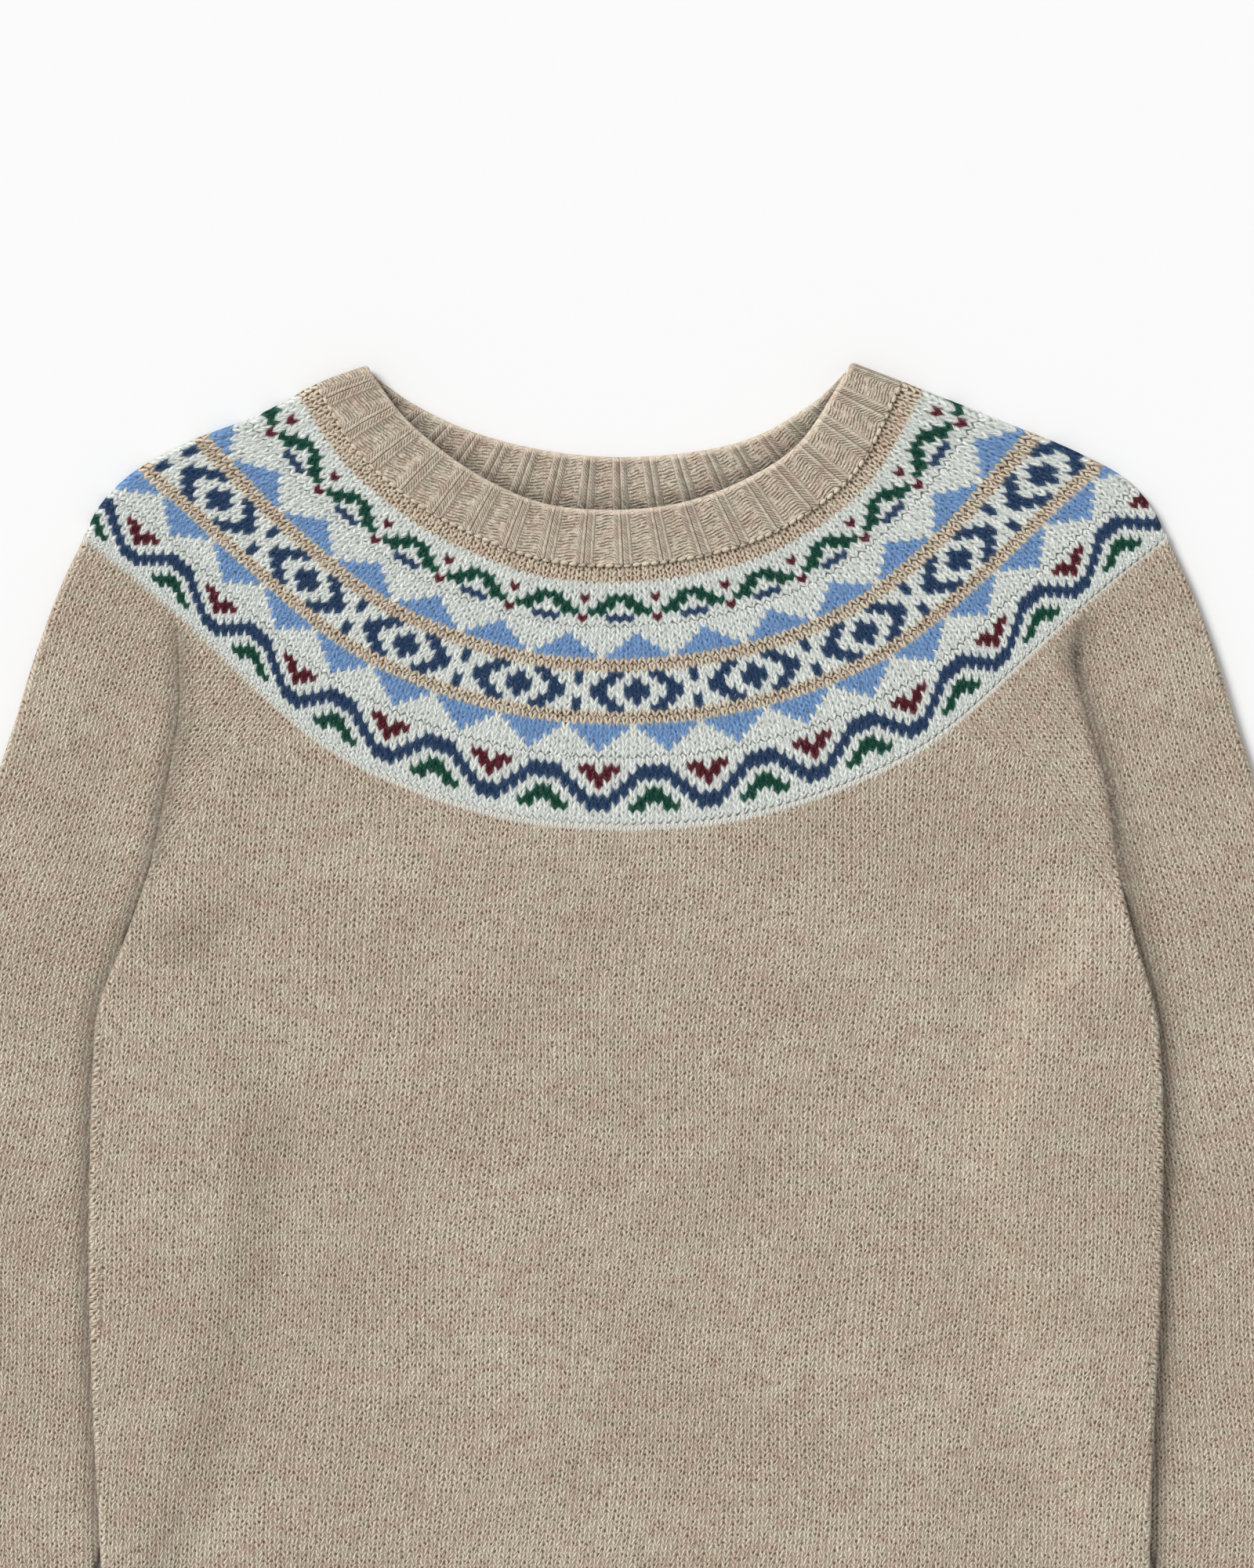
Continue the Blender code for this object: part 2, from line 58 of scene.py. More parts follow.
# Heights of the middle of each layer, of both together, and the radius of a turned edge
BACK_LEVEL = KNIT / 2
FRONT_LEVEL = KNIT * 1.5 + AIR
LAYERS = KNIT * 2 + AIR
QUARTER_TURN = (LAYERS - KNIT - SEAM) / 2
EDGE_STEPS = 5

# Width and height of a stitch, and how many degrees the body's wales lean
WALE = 3.85
COURSE = 2.79
BODY_LEAN = 4.2

HEM_TOP_Y = -244
HEM_OVERLAP = 0.2
UNDERARM_Y = 101
ARMHOLE_X = {-1: -205.2, 1: 208.4}
# The armhole crease and the side fold below it: y, left x, right x
BODY_SIDE = [
    (190, -204.6, 207.0), (169, -204.8, 211.6), (137, -210.2, 220.8), (UNDERARM_Y, -218.0, 226.0),
    (71, -227.4, 232.0), (37, -240.8, 242.0), (11, -243.7, 245.2), (-26, -245.0, 246.3),
    (-88, -245.7, 245.3), (-150, -243.8, 242.4), (-187, -241.8, 240.9), (-223, -240.0, 239.9),
    (HEM_TOP_Y, -239.6, 239.6),
]
# The yoke's lower edge: distance from the middle, y on the front, y on the back
YOKE_EDGE = [
    (0, 118.1, 141), (40, 120.8, 143), (80, 130, 150), (120, 146, 162),
    (150, 165, 178), (190, 201.5, 207), (220, 228, 230),
]
YOKE_END = (248.4, 250.2)
# How far the front's upper edge goes under the yoke's last course, and how much lower it lies there
YOKE_TUCK = 2.2
YOKE_TUCK_DEPTH = 0.5
# The sleeve's inner fold where it lies under the body: y, distance from the middle
SLEEVE_TUCK = [
    (58, 229.5), (42, 216), (20, 204.5), (-3, 197.8), (-30, 195.5), (-79, 201),
    (-151, 219), (-190, 231.5), (-223, 242.5), (-270, 252),
]
# Where the crease hands over to that fold, how far above it ends, and which of its points are knots
TUCK_START_Y = 71
TUCK_MARGIN = 4
CREASE_KNOTS = 12
# How far the body rises over a sleeve, how far in from the sleeve's fold the slope starts and ends, and
# the heights up the garment between which it grows, and fades again towards the hem
LIFT = LAYERS + 2 * SEAM
LIFT_SLOPE = (10, 46)
LIFT_STARTS = (100, 71)
LIFT_FADES = (-215, -268)
# Share of a quarter turn that each sewn edge makes at the armhole, on the front and on the back, how
# much of it the edge makes under the yoke, the heights between which that crease grows, and those
# between which it becomes the side fold
CREASE_BEND = {1: 0.8, 2: 0.02}
YOKE_BEND = 0.4
CREASE_STARTS = (226, 176)
BEND_Y = (112, 92)
# How far the front's sewn edges press past the seam into each other, and the sleeve's below the armhole
PRESSED = 1.0
SLEEVE_PRESSED = 1.5
# The soft roll beside the seam: height, distance and half width, and where it ends above the side fold
CREASE_RIM = (0.6, 6.0, 6.0)
RIM_ENDS = (96, 116)
# Painted shade beside the armhole seam, and painted shade and shadow beside the fold below it, where
# the stitches are also blurred: y, how much darker it is, and how far that reaches on the body and on
# the sleeve
SEAM_SHADE = {
    -1: [(-260, 0.50, 1.2, 5), (-151, 0.55, 1.2, 5), (0, 0.62, 1.5, 6), (60, 0.52, 1.5, 6),
         (100, 0.48, 3, 5), (125, 0.48, 5, 5.5), (200, 0.44, 6, 5.5), (224, 0.25, 6, 5)],
    1: [(-260, 0.20, 1, 9), (0, 0.32, 1, 9), (60, 0.42, 1, 9), (100, 0.62, 1.5, 8),
        (125, 0.70, 2.2, 6.5), (180, 0.62, 2.5, 6), (196, 0.78, 7, 4.5), (205, 0.60, 8, 6),
        (224, 0.36, 7, 6)],
}
# How far the yoke's white fibres reach down into the plain wool
WHITE_REACH = 5.5
# The line where the body's stitches are decreased towards the armhole: distance from the middle, y.
# Beyond it they slant by so many degrees
DECREASES = [
    (120, 176), (163.5, 157), (184.5, 149.5), (193.5, 131), (206.5, 111), (219, 91), (240, 60),
]
DECREASED_SLANT = 36

# Soft creases: x, y, direction in degrees, half length, half width, height
FRONT_CREASES = [
    (-186, 128, 62, 52, 13, 1.3), (-168, 84, 48, 46, 11, -0.8), (-150, 60, 40, 60, 14, 0.7),
    (190, 126, 118, 50, 13, 1.2), (172, 86, 128, 48, 11, -0.7), (150, 52, 135, 66, 15, 0.6),
    (-212, -14, 88, 96, 17, 0.9), (214, -44, 92, 110, 17, 0.9), (20, -60, 12, 150, 40, 0.5),
    (-90, -130, 172, 90, 22, -0.5), (96, -150, 8, 100, 24, 0.5), (-40, 30, 170, 120, 26, 0.4),
    (-196, 176, 96, 34, 10, 0.8), (198, 178, 84, 34, 10, 0.8),
]
BACK_CREASES = [
    (-186, 124, 58, 46, 14, 0.4), (-206, -20, 86, 80, 15, 0.35), (188, 120, 122, 42, 13, 0.45),
    (208, -60, 94, 70, 15, 0.3), (30, 40, 16, 110, 24, 0.25), (-60, -170, 168, 70, 18, 0.3),
]


def ease(start, end, value):
    """0 at start, 1 at end and smooth between them; start may lie above end."""
    share = np.clip((np.asarray(value, float) - start) / (end - start), 0, 1)
    return share * share * (3 - 2 * share)


def smooth(points, steps=24):
    """A close polyline on the smooth curve through the points."""
    points = np.array(points, float)
    knots = np.vstack([2 * points[0] - points[1], points, 2 * points[-1] - points[-2]])
    share = np.linspace(0, 1, steps, endpoint=False)[:, None]
    spans = [
        start
        + share * (end - before) / 2
        + share**2 * (before - 2.5 * start + 2 * end - after / 2)
        + share**3 * (1.5 * (start - end) + (after - before) / 2)
        for before, start, end, after in zip(knots, knots[1:], knots[2:], knots[3:])
    ]
    return np.vstack([*spans, points[-1:]])


def lengths_along(path):
    """How far along a path each of its points lies."""
    return np.insert(np.cumsum(np.linalg.norm(np.diff(path, axis=0), axis=1)), 0, 0)


def shares_of(path):
    """How far along a path each of its points lies, from 0 to 1."""
    along = lengths_along(path)
    return along / along[-1]


def at_shares(path, shares, values=None):
    """Places at shares of a path's length, or what the values of its points are there."""
    values = path if values is None else values
    return np.stack([np.interp(shares, shares_of(path), axis) for axis in values.T], axis=1)


def away_from_middle(path, side):
    """Unit normals of a path that runs from neck to hem."""
    along = np.gradient(path, axis=0)
    normal = -side * np.stack([along[:, 1], -along[:, 0]], axis=1)
    return normal / np.linalg.norm(normal, axis=1)[:, None]


def spanned(top, bottom, start, end, columns, rows):
    """Rows of plan points on a surface spanned between four edges, given by their points."""
    u, v = np.asarray(columns)[None, :, None], np.asarray(rows)[:, None, None]
    across = (1 - v) * top + v * bottom
    down = (1 - u) * start[:, None] + u * end[:, None]
    upper = (1 - u) * top[0] + u * top[-1]
    lower = (1 - u) * bottom[0] + u * bottom[-1]
    return across + down - (1 - v) * upper - v * lower


def straight(start, end, columns):
    """Rows of plan points on straight lines between two edges."""
    share = np.asarray(columns)[None, :, None]
    return (1 - share) * start[:, None] + share * end[:, None]


def raised_to(plan, level):
    """Plan points as points in space, at one level or one for each."""
    return np.dstack([plan, np.broadcast_to(level, plan.shape[:2])])


def normals(middle, ring=False):
    """Unit normals of a surface, given by rows of points; the last column of a ring repeats the first."""
    down = np.gradient(middle, axis=0, edge_order=2)
    if ring:
        across = (np.roll(middle[:, :-1], -1, axis=1) - np.roll(middle[:, :-1], 1, axis=1)) / 2
        across = np.hstack([across, across[:, :1]])
    else:
        across = np.gradient(middle, axis=1, edge_order=2)
    normal = np.cross(down, across)
    return normal / np.linalg.norm(normal, axis=2)[..., None]


def corners_of(grid):
    """The four corners of each face of a grid."""
    return np.stack([grid[:-1, :-1], grid[1:, :-1], grid[1:, 1:], grid[:-1, 1:]], axis=2)


def fuzzed(yarn):
    """For the corners of a grid of faces: each face's yarn, and what the yarns at the corner mix to."""
    shades = np.log(np.pad(yarn, ((1, 1), (1, 1), (0, 0)), mode="edge") + 0.01)
    mix = corners_of(np.exp(corners_of(shades).mean(axis=2)))
    both = np.stack([np.broadcast_to(yarn[:, :, None], mix.shape), mix], axis=3)
    return both.reshape(-1, 4, 2, 4)


def placed(name, mesh, material):
    """The object of a finished mesh, in the scene."""
    mesh.shade_smooth()
    mesh.materials.append(material)
    made = bpy.data.objects.new(name, mesh)
    bpy.context.scene.collection.objects.link(made)
    return made


def knit_mesh(name, patches, material):
    """A mesh from grids of points, of their places in stitches and of yarn, welded where they meet."""
    corners, places = (
        np.vstack([corners_of(patch[part]).reshape(-1, 4, patch[part].shape[2]) for patch in patches])
        for part in (0, 1)
    )
    corners *= MM
    yarns = [fuzzed(yarn) for _, _, *given in patches for yarn in given]
    rounded = np.round(corners.reshape(-1, 3) * 1e7).astype(np.int64)
    _, first, numbers = np.unique(rounded, axis=0, return_index=True, return_inverse=True)
    numbers = numbers.reshape(-1, 4)
    kept = numbers != np.roll(numbers, 1, axis=1)
    kept[kept.sum(axis=1) < 3] = False
    faces = [face[used].tolist() for face, used in zip(numbers, kept) if used.any()]
    mesh = bpy.data.meshes.new(name)
    mesh.from_pydata(corners.reshape(-1, 3)[first].tolist(), [], faces)
    for number, layer in enumerate(("Stitches", "ShadeAndShaping")[:places.shape[2] // 2]):
        uv = places[kept][:, 2 * number:2 * number + 2]
        mesh.uv_layers.new(name=layer).data.foreach_set("uv", uv.ravel())
    if yarns:
        for number, layer in enumerate(("Yarn", "Fuzz")):
            colours = mesh.color_attributes.new(layer, "FLOAT_COLOR", "CORNER")
            colours.data.foreach_set("color", np.vstack(yarns)[:, :, number][kept].ravel())
    return placed(name, mesh, material)


def walled(middle, stitches, rise=0.0, ring=False, face_up=True, thickness=KNIT):
    """The patches of a wall round a middle surface, with what rises on its outer face only."""
    outward = normals(middle, ring) * (1 if face_up else -1)
    rise = np.broadcast_to(rise, middle.shape[:2])[..., None]
    outer, inner = middle + outward * (thickness / 2 + rise), middle - outward * thickness / 2
    pairs = [(inner[:1], outer[:1], stitches[:1]), (outer[-1:], inner[-1:], stitches[-1:])]
    patches = [(outer, stitches), (inner[:, ::-1], stitches[:, ::-1])]
    patches += [(np.vstack(pair), np.repeat(places, 2, axis=0)) for *pair, places in pairs]
    if not ring:
        for column, order in ((0, (inner, outer)), (-1, (outer, inner))):
            rim = np.stack([grid[:, column] for grid in order], axis=1)
            patches.append((rim, np.repeat(stitches[:, column][:, None], 2, axis=1)))
    if not face_up:
        patches = [(points[:, ::-1], places[:, ::-1]) for points, places in patches]
    return patches


def creased(creases, plan):
    """The height of soft ridges and troughs at plan points."""
    height = np.zeros(plan.shape[:2])
    for x, y, degrees, length, width, rise in creases:
        angle = math.radians(degrees)
        dx, dy = plan[..., 0] - x, plan[..., 1] - y
        along = (dx * math.cos(angle) + dy * math.sin(angle)) / length
        across = (dy * math.cos(angle) - dx * math.sin(angle)) / width
        height += rise * np.clip(1 - along**2, 0, 1) ** 2 * np.exp(-(across**2))
    return height


def yoke_edge_y(layer, x):
    """The height up the garment of the yoke's lower edge: layer 1 is the front, 2 the back."""
    half = smooth([(row[0], row[layer]) for row in YOKE_EDGE] + [YOKE_END])
    return np.interp(np.abs(x), half[:, 0], half[:, 1])


def body_side(side):
    """The armhole crease and the side fold of the body, as a close path."""
    top = ARMHOLE_X[side], float(yoke_edge_y(1, ARMHOLE_X[side]))
    return smooth([top, *((left if side < 0 else right, y) for y, left, right in BODY_SIDE)])


def sleeve_inside(side):
    """The sleeve's edge at the armhole crease, then its inner fold as it goes under the body."""
    crease = body_side(side)
    crease = crease[crease[:, 1] > TUCK_START_Y + TUCK_MARGIN][::CREASE_KNOTS]
    crease[:, 0] -= side * SLEEVE_PRESSED * ease(*BEND_Y, crease[:, 1])
    return smooth([*crease, *((side * x, y) for y, x in SLEEVE_TUCK)])


def seam_edge(path, side, layer, into):
    """Where the turn of a seamed edge begins, its direction and bend: into is -1 for the body, 1 a sleeve."""
    above = CREASE_BEND[layer] * (YOKE_BEND + (1 - YOKE_BEND) * ease(*CREASE_STARTS, path[:, 1]))
    below = ease(*BEND_Y, path[:, 1])
    bend = above + (1 - above) * below
    reach = (QUARTER_TURN + KNIT / 2) * np.sin(bend * math.pi / 2)
    gap = SEAM / 2 - (PRESSED if layer == 1 else 0)
    reach = (reach + gap * (1 - below))[:, None]
    away = away_from_middle(path, side)
    edge = path + into * away * reach
    edge[0] = path[0] + (into * side * reach[0, 0], 0)
    edge[0, 1] = yoke_edge_y(layer, edge[0, 0])
    return edge, -into * away, bend


def turned_edge(edge, direction, level, bend, layer):
    """Columns that carry an edge round by a share of a quarter turn, and their places if unrolled."""
    downward = 1 if layer == 1 else -1
    turn = (bend * math.pi / 2)[:, None] * np.arange(1, EDGE_STEPS + 1) / EDGE_STEPS
    plan = edge[:, None] + direction[:, None] * (QUARTER_TURN * np.sin(turn))[..., None]
    unrolled = edge[:, None] + direction[:, None] * (QUARTER_TURN * turn)[..., None]
    return raised_to(plan, level[:, None] - downward * QUARTER_TURN * (1 - np.cos(turn))), unrolled


def body_lift(plan):
    """How far the body is raised at plan points by the sleeves tucked under it."""
    x, y = plan[..., 0], plan[..., 1]
    share = np.zeros(x.shape)
    for side in SIDES:
        fold = sleeve_inside(side)
        fold_x = side * np.interp(-y, -fold[:, 1], fold[:, 0])
        share += 1 - ease(*LIFT_SLOPE, fold_x - side * x)
    return LIFT * share * ease(*LIFT_STARTS, y) * (1 - ease(*LIFT_FADES, y))


def crease_rim(side, plan):
    """The height of the soft roll that the cloth makes on each side of the armhole seam."""
    x, y = plan[..., 0], plan[..., 1]
    height, middle, width = CREASE_RIM
    path = body_side(side)
    away = np.abs(x - np.interp(-y, -path[:, 1], path[:, 0]))
    shown = ease(*CREASE_STARTS, y) * ease(*RIM_ENDS, y)
    return height * shown * np.exp(-(((away - middle) / width) ** 2))


def shaping(plan, layer):
    """How much painted shade plan points get beside the armhole seam and the fold below it, and how far
    they are beyond the line of decreases.

    Below the yoke's edge the first value is negative, where white fibres reach into the plain wool.
    """
    x, y = plan[..., 0], plan[..., 1]
    seam = np.zeros(x.shape)
    for side in SIDES:
        path = body_side(side)
        away = side * (x - np.interp(-y, -path[:, 1], path[:, 0]))
        at, depth, on_body, on_sleeve = np.array(SEAM_SHADE[side]).T
        reach = np.where(away > 0, np.interp(y, at, on_sleeve), np.interp(y, at, on_body))
        seam += np.interp(y, at, depth) * np.exp(-((away / reach) ** 2))
    white = ease(WHITE_REACH, 0, yoke_edge_y(layer, x) - y)
    seam = seam * (1 - white) - white
    line = smooth(DECREASES)
    beyond = np.abs(x) - np.interp(-y, -line[:, 1], line[:, 0])
    return np.stack([seam, beyond], axis=-1)


def wandering(x, y):
    """A slow wander of knitted rows and columns, in stitches."""
    return (
        0.35 * np.sin(x / 31 + 1.3 * np.sin(y / 47))
        + 0.25 * np.sin(y / 23 + x / 67)
        + 0.12 * np.sin(x / 11.3 - y / 17.7)
    )


def plain_stitches(plan, layer):
    """Wale and course at plan points of a body panel, whose wales lean to the left going down."""
    x, y = plan[..., 0], plan[..., 1]
    lean = math.radians(BODY_LEAN)
    wale = (x * math.cos(lean) - y * math.sin(lean)) / WALE + wandering(x, y)
    course = y / COURSE + wandering(y + 90, x)
    return np.concatenate([np.stack([wale, course], axis=-1), shaping(plan, layer)], axis=-1)


class Value:
    """A number or colour that varies over a surface, in a shader's node tree, with arithmetic on it."""

    def __init__(self, tree, socket):
        self.tree = tree
        self.socket = socket

    def math(self, operation, *others):
        made = self.tree.nodes.new("ShaderNodeMath")
        made.operation = operation
        for socket, value in zip(made.inputs, (self, *others)):
            feed(self.tree, socket, value)
        return Value(self.tree, made.outputs[0])

    def __add__(self, other):
        return self.math("ADD", other)

    def __sub__(self, other):
        return self.math("SUBTRACT", other)

    def __mul__(self, other):
        return self.math("MULTIPLY", other)

    def __pow__(self, other):
        return self.math("POWER", other)


def feed(tree, socket, value):
    """Links a value to a socket, or sets a constant on it."""
    if isinstance(value, Value):
        tree.links.new(value.socket, socket)
    else:
        socket.default_value = value


def add_node(tree, kind, inputs, output=0, **settings):
    """A shader node with its settings and inputs, as the value of one of its outputs."""
    made = tree.nodes.new(kind)
    for name, value in settings.items():
        setattr(made, name, value)
    for name, value in inputs.items():
        feed(tree, made.inputs[name], value)
    return Value(tree, made.outputs[output])


def new_group(name, inputs, outputs):
    """A shader node group with named sockets for numbers, and its inputs as values."""
    group = bpy.data.node_groups.new(name, "ShaderNodeTree")
    for direction, sockets in (("INPUT", inputs), ("OUTPUT", outputs)):
        for socket in sockets:
            group.interface.new_socket(socket, in_out=direction, socket_type="NodeSocketFloat")
    source = group.nodes.new("NodeGroupInput")
    return group, [Value(group, source.outputs[socket]) for socket in inputs]


def put_out(group, **values):
    """Feeds the outputs of a group."""
    sink = group.nodes.new("NodeGroupOutput")
    for name, value in values.items():
        feed(group, sink.inputs[name], value)


def use_group(tree, group, inputs):
    """A node group in use in a tree: its outputs by their names."""
    made = tree.nodes.new("ShaderNodeGroup")
    made.node_tree = group
    for name, value in inputs.items():
        feed(tree, made.inputs[name], value)
    return {socket.name: Value(tree, socket) for socket in made.outputs}


def grid_place(tree, x, y, z=0.0):
    """A vector of three numbers; equal ones make a grey."""
    return add_node(tree, "ShaderNodeCombineXYZ", {"X": x, "Y": y, "Z": z})


def noise(tree, place, scale, detail=2.0, rough=0.5):
    """Soft noise round 0.5."""
    inputs = {"Vector": place, "Scale": scale, "Detail": detail, "Roughness": rough}
    return add_node(tree, "ShaderNodeTexNoise", inputs)


def dice(tree, place):
    """A random number for each place."""
    return add_node(tree, "ShaderNodeTexWhiteNoise", {"Vector": place}, noise_dimensions="3D")


def remapped(tree, value, low, high, to_low=0.0, to_high=1.0):
    """A value brought smoothly from one range to another, and held at its ends."""
    inputs = {"Value": value, "From Min": low, "From Max": high, "To Min": to_low, "To Max": to_high}
    return add_node(tree, "ShaderNodeMapRange", inputs, interpolation_type="SMOOTHSTEP")


def mixed(tree, share, first, second, blend="MIX"):
    """Two colours mixed by a share of the second."""
    made = tree.nodes.new("ShaderNodeMix")
    made.data_type = "RGBA"
    made.blend_type = blend
    feed(tree, made.inputs["Factor"], share)
    feed(tree, made.inputs[6], first)
    feed(tree, made.inputs[7], second)
    return Value(tree, made.outputs[2])


def linear(red, green, blue):
    """A display colour from 0 to 255 as a shader colour."""
    shares = (value / 255 for value in (red, green, blue))
    return *(((s + 0.055) / 1.055) ** 2.4 if s > 0.04045 else s / 12.92 for s in shares), 1.0


# What a group says of each place in a stitch: how high the yarn stands, how much painted shade there is
# in its holes, and how much lighter or darker the yarn is: tone that differs at random, and painted light
# and shade across its legs
STITCH = ("Relief", "Hole", "Tone")


def stockinette_group():
    """The knit side: each stitch is a V of two plump legs that lean out, with painted shade in the holes
    between them and painted light and shade across each leg.

    Slant is how much higher, in courses, the edge of a stitch lies than its middle.
    """
    group, (wale, course, slant) = new_group("Stockinette", ("Wale", "Course", "Slant"), STITCH)
    place = grid_place(group, wale, course)
    across = grid_place(group, course, wale, 4.0)
    wale = wale + (noise(group, place, 0.9, 2.0, 0.6) - 0.5) * 0.6
    course = course + noise(group, across, 0.8, 2.0, 0.6) - 0.5
    off_centre = wale.math("PINGPONG", 0.5) * 2.0
    lifted = course - slant * off_centre
    up = lifted.math("FRACT")
    chance = dice(group, grid_place(group, (wale * 2.0 + 1.0).math("FLOOR"), lifted.math("FLOOR")))
    aside = (off_centre - (up * 0.44 + 0.22)).math("ABSOLUTE")
    ends = remapped(group, (up - 0.5).math("ABSOLUTE"), 0.2, 0.5)
    plump = remapped(group, aside, 0.5, 0.0) * (ends * -0.75 + 1.0)
    level = course + 0.5 - slant * off_centre.math("ROUND")
    luck = dice(group, grid_place(group, (wale * 2.0).math("ROUND"), level.math("FLOOR"), 7.0))
    between = (wale * 2.0 + 0.5).math("FRACT") - 0.5
    over = level.math("FRACT") - 0.5 + (luck * 7.0).math("FRACT") * 0.3 - 0.15
    dot = between * between * 3.4 + over * over * 2.4
    dot = remapped(group, dot, 0.26, 0.0) * remapped(group, luck, 0.05, 1.0)
    # Painted shade in the holes between the legs and beside them
    hole = dot + remapped(group, plump, 0.4, 0.0) * 0.3
    relief = plump - dot * 0.3
    # Tone that differs at random from leg to leg, and painted light on each leg's crown with painted shade at
    # its sides
    tone = (chance - 0.5) * 0.45 + (plump - 0.45) * (chance * 1.3 + 0.2)
    put_out(group, Relief=relief, Hole=hole, Tone=tone)
    return group


def melange_group():
    """Wool spun from fibres of several shades: soft clouds, warm and grey flecks, and fine fibres."""
    results = "Cloud", "Warm", "Grey", "Fibre"
    group, (wale, course) = new_group("Melange", ("Wale", "Course"), results)
    row = course.math("FLOOR")
    streak = noise(group, grid_place(group, wale * 0.3, row * 3.7), 1.0, 3.0, 0.65)
    cloud = noise(group, grid_place(group, wale * 0.05, course * 0.06, 3.1), 1.0, 3.0, 0.55)
    warm = noise(group, grid_place(group, wale * 0.3, course * 0.4, 9.7), 1.0, 4.0, 0.65)
    grey = noise(group, grid_place(group, wale * 0.27, course * 0.4, 21.7), 1.0, 4.0, 0.65)
    fibre = noise(group, grid_place(group, wale * 4.1, course * 2.9, 5.3), 1.0, 3.0, 0.75)
    put_out(group, Cloud=streak * 0.35 + cloud * 0.65, Warm=warm, Grey=grey, Fibre=fibre)
    return group


stockinette = stockinette_group()
melange = melange_group()

OATMEAL = linear(206, 193, 172)
OATMEAL_DARK = linear(190, 174, 152)
OATMEAL_WARM = linear(192, 162, 146)
OATMEAL_GREY = linear(190, 182, 160)
# The paler colour of painted highlights on the legs and of light fibres
OATMEAL_PALE_AND_HIGHLIGHT = linear(196, 188, 173)
# The colour of the painted shade in the holes between stitches
OATMEAL_HOLE_SHADE = linear(88, 70, 48)
WHITE_FIBRES = linear(205, 206, 198)


def stitch_places(tree, layer="Stitches"):
    """The wale and course of each point of a piece, or the two values of another layer."""
    uv = add_node(tree, "ShaderNodeUVMap", {}, uv_map=layer)
    apart = tree.nodes.new("ShaderNodeSeparateXYZ")
    tree.links.new(uv.socket, apart.inputs[0])
    return Value(tree, apart.outputs[0]), Value(tree, apart.outputs[1])


def shaped_places(tree):
    """The wale and course on a piece that is shaped by decreases, and how much painted shade it gets in a
    seam.
    """
    wale, course = stitch_places(tree)
    seam, beyond = stitch_places(tree, "ShadeAndShaping")
    beyond = remapped(tree, beyond, -0.1, 0.1)
    y = course * COURSE
    x = (wale * WALE + y * math.sin(math.radians(BODY_LEAN))) * (1 / math.cos(math.radians(BODY_LEAN)))
    turn = math.radians(DECREASED_SLANT)
    side = x.math("SIGN")
    slanted = (x * math.cos(turn) + side * y * math.sin(turn)) * (1 / WALE)
    lowered = (side * x * -math.sin(turn) + y * math.cos(turn)) * (1 / COURSE)
    wale = wale + (slanted - wale) * beyond
    course = course + (lowered - course) * beyond
    return wale, course, seam


def toned(tree, colour, tone):
    """A colour made lighter or darker."""
    return mixed(tree, 1.0, colour, grid_place(tree, tone, tone, tone), "MULTIPLY")


def oatmeal_colour(tree, wale, course, stitch, holes=1.0, light=1.15):
    """The melange's colour with painted shade in the holes between its stitches, painted light and shade
    on its legs, and its fibres.
    """
    wool = use_group(tree, melange, {"Wale": wale, "Course": course})
    colour = mixed(tree, remapped(tree, wool["Cloud"], 0.38, 0.62), OATMEAL, OATMEAL_DARK)
    colour = mixed(tree, remapped(tree, wool["Grey"], 0.45, 0.65, 0.0, 0.5), colour, OATMEAL_GREY)
    colour = mixed(tree, remapped(tree, wool["Warm"], 0.45, 0.62, 0.0, 0.6), colour, OATMEAL_WARM)
    # Painted light and shade across the legs, capped, and tone from the fibres; paler where it is bright
    tone = (stitch["Tone"] * 0.6).math("MINIMUM", 0.12) + (wool["Fibre"] - 0.5) * 0.8
    colour = mixed(tree, remapped(tree, tone, -0.15, 0.3, 0.0, 0.7), colour, OATMEAL_PALE_AND_HIGHLIGHT)
    colour = toned(tree, colour, tone + light)
    # Painted shade in the holes between stitches
    hole = (stitch["Hole"] * holes).math("MINIMUM", 1.0)
    return mixed(tree, hole, colour, OATMEAL_HOLE_SHADE), wool["Fibre"]


def wool_shader(name, sheen=0.25, gloss=0.2):
    """A material with the wool's Principled shader: its tree and the shader."""
    made = bpy.data.materials.new(name)
    made.use_nodes = True
    shader = made.node_tree.nodes["Principled BSDF"]
    shader.inputs["Roughness"].default_value = 0.85
    shader.inputs["Specular IOR Level"].default_value = gloss
    shader.inputs["Sheen Weight"].default_value = sheen
    shader.inputs["Sheen Roughness"].default_value = 0.5
    return made, made.node_tree, shader


def finish_wool(tree, shader, colour, height, distance):
    """Gives a shader its colour and the normal of a surface raised by a height."""
    feed(tree, shader.inputs["Base Color"], colour)
    bump = tree.nodes.new("ShaderNodeBump")
    bump.inputs["Strength"].default_value = 1.0
    bump.inputs["Distance"].default_value = distance
    feed(tree, bump.inputs["Height"], height)
    tree.links.new(bump.outputs["Normal"], shader.inputs["Normal"])


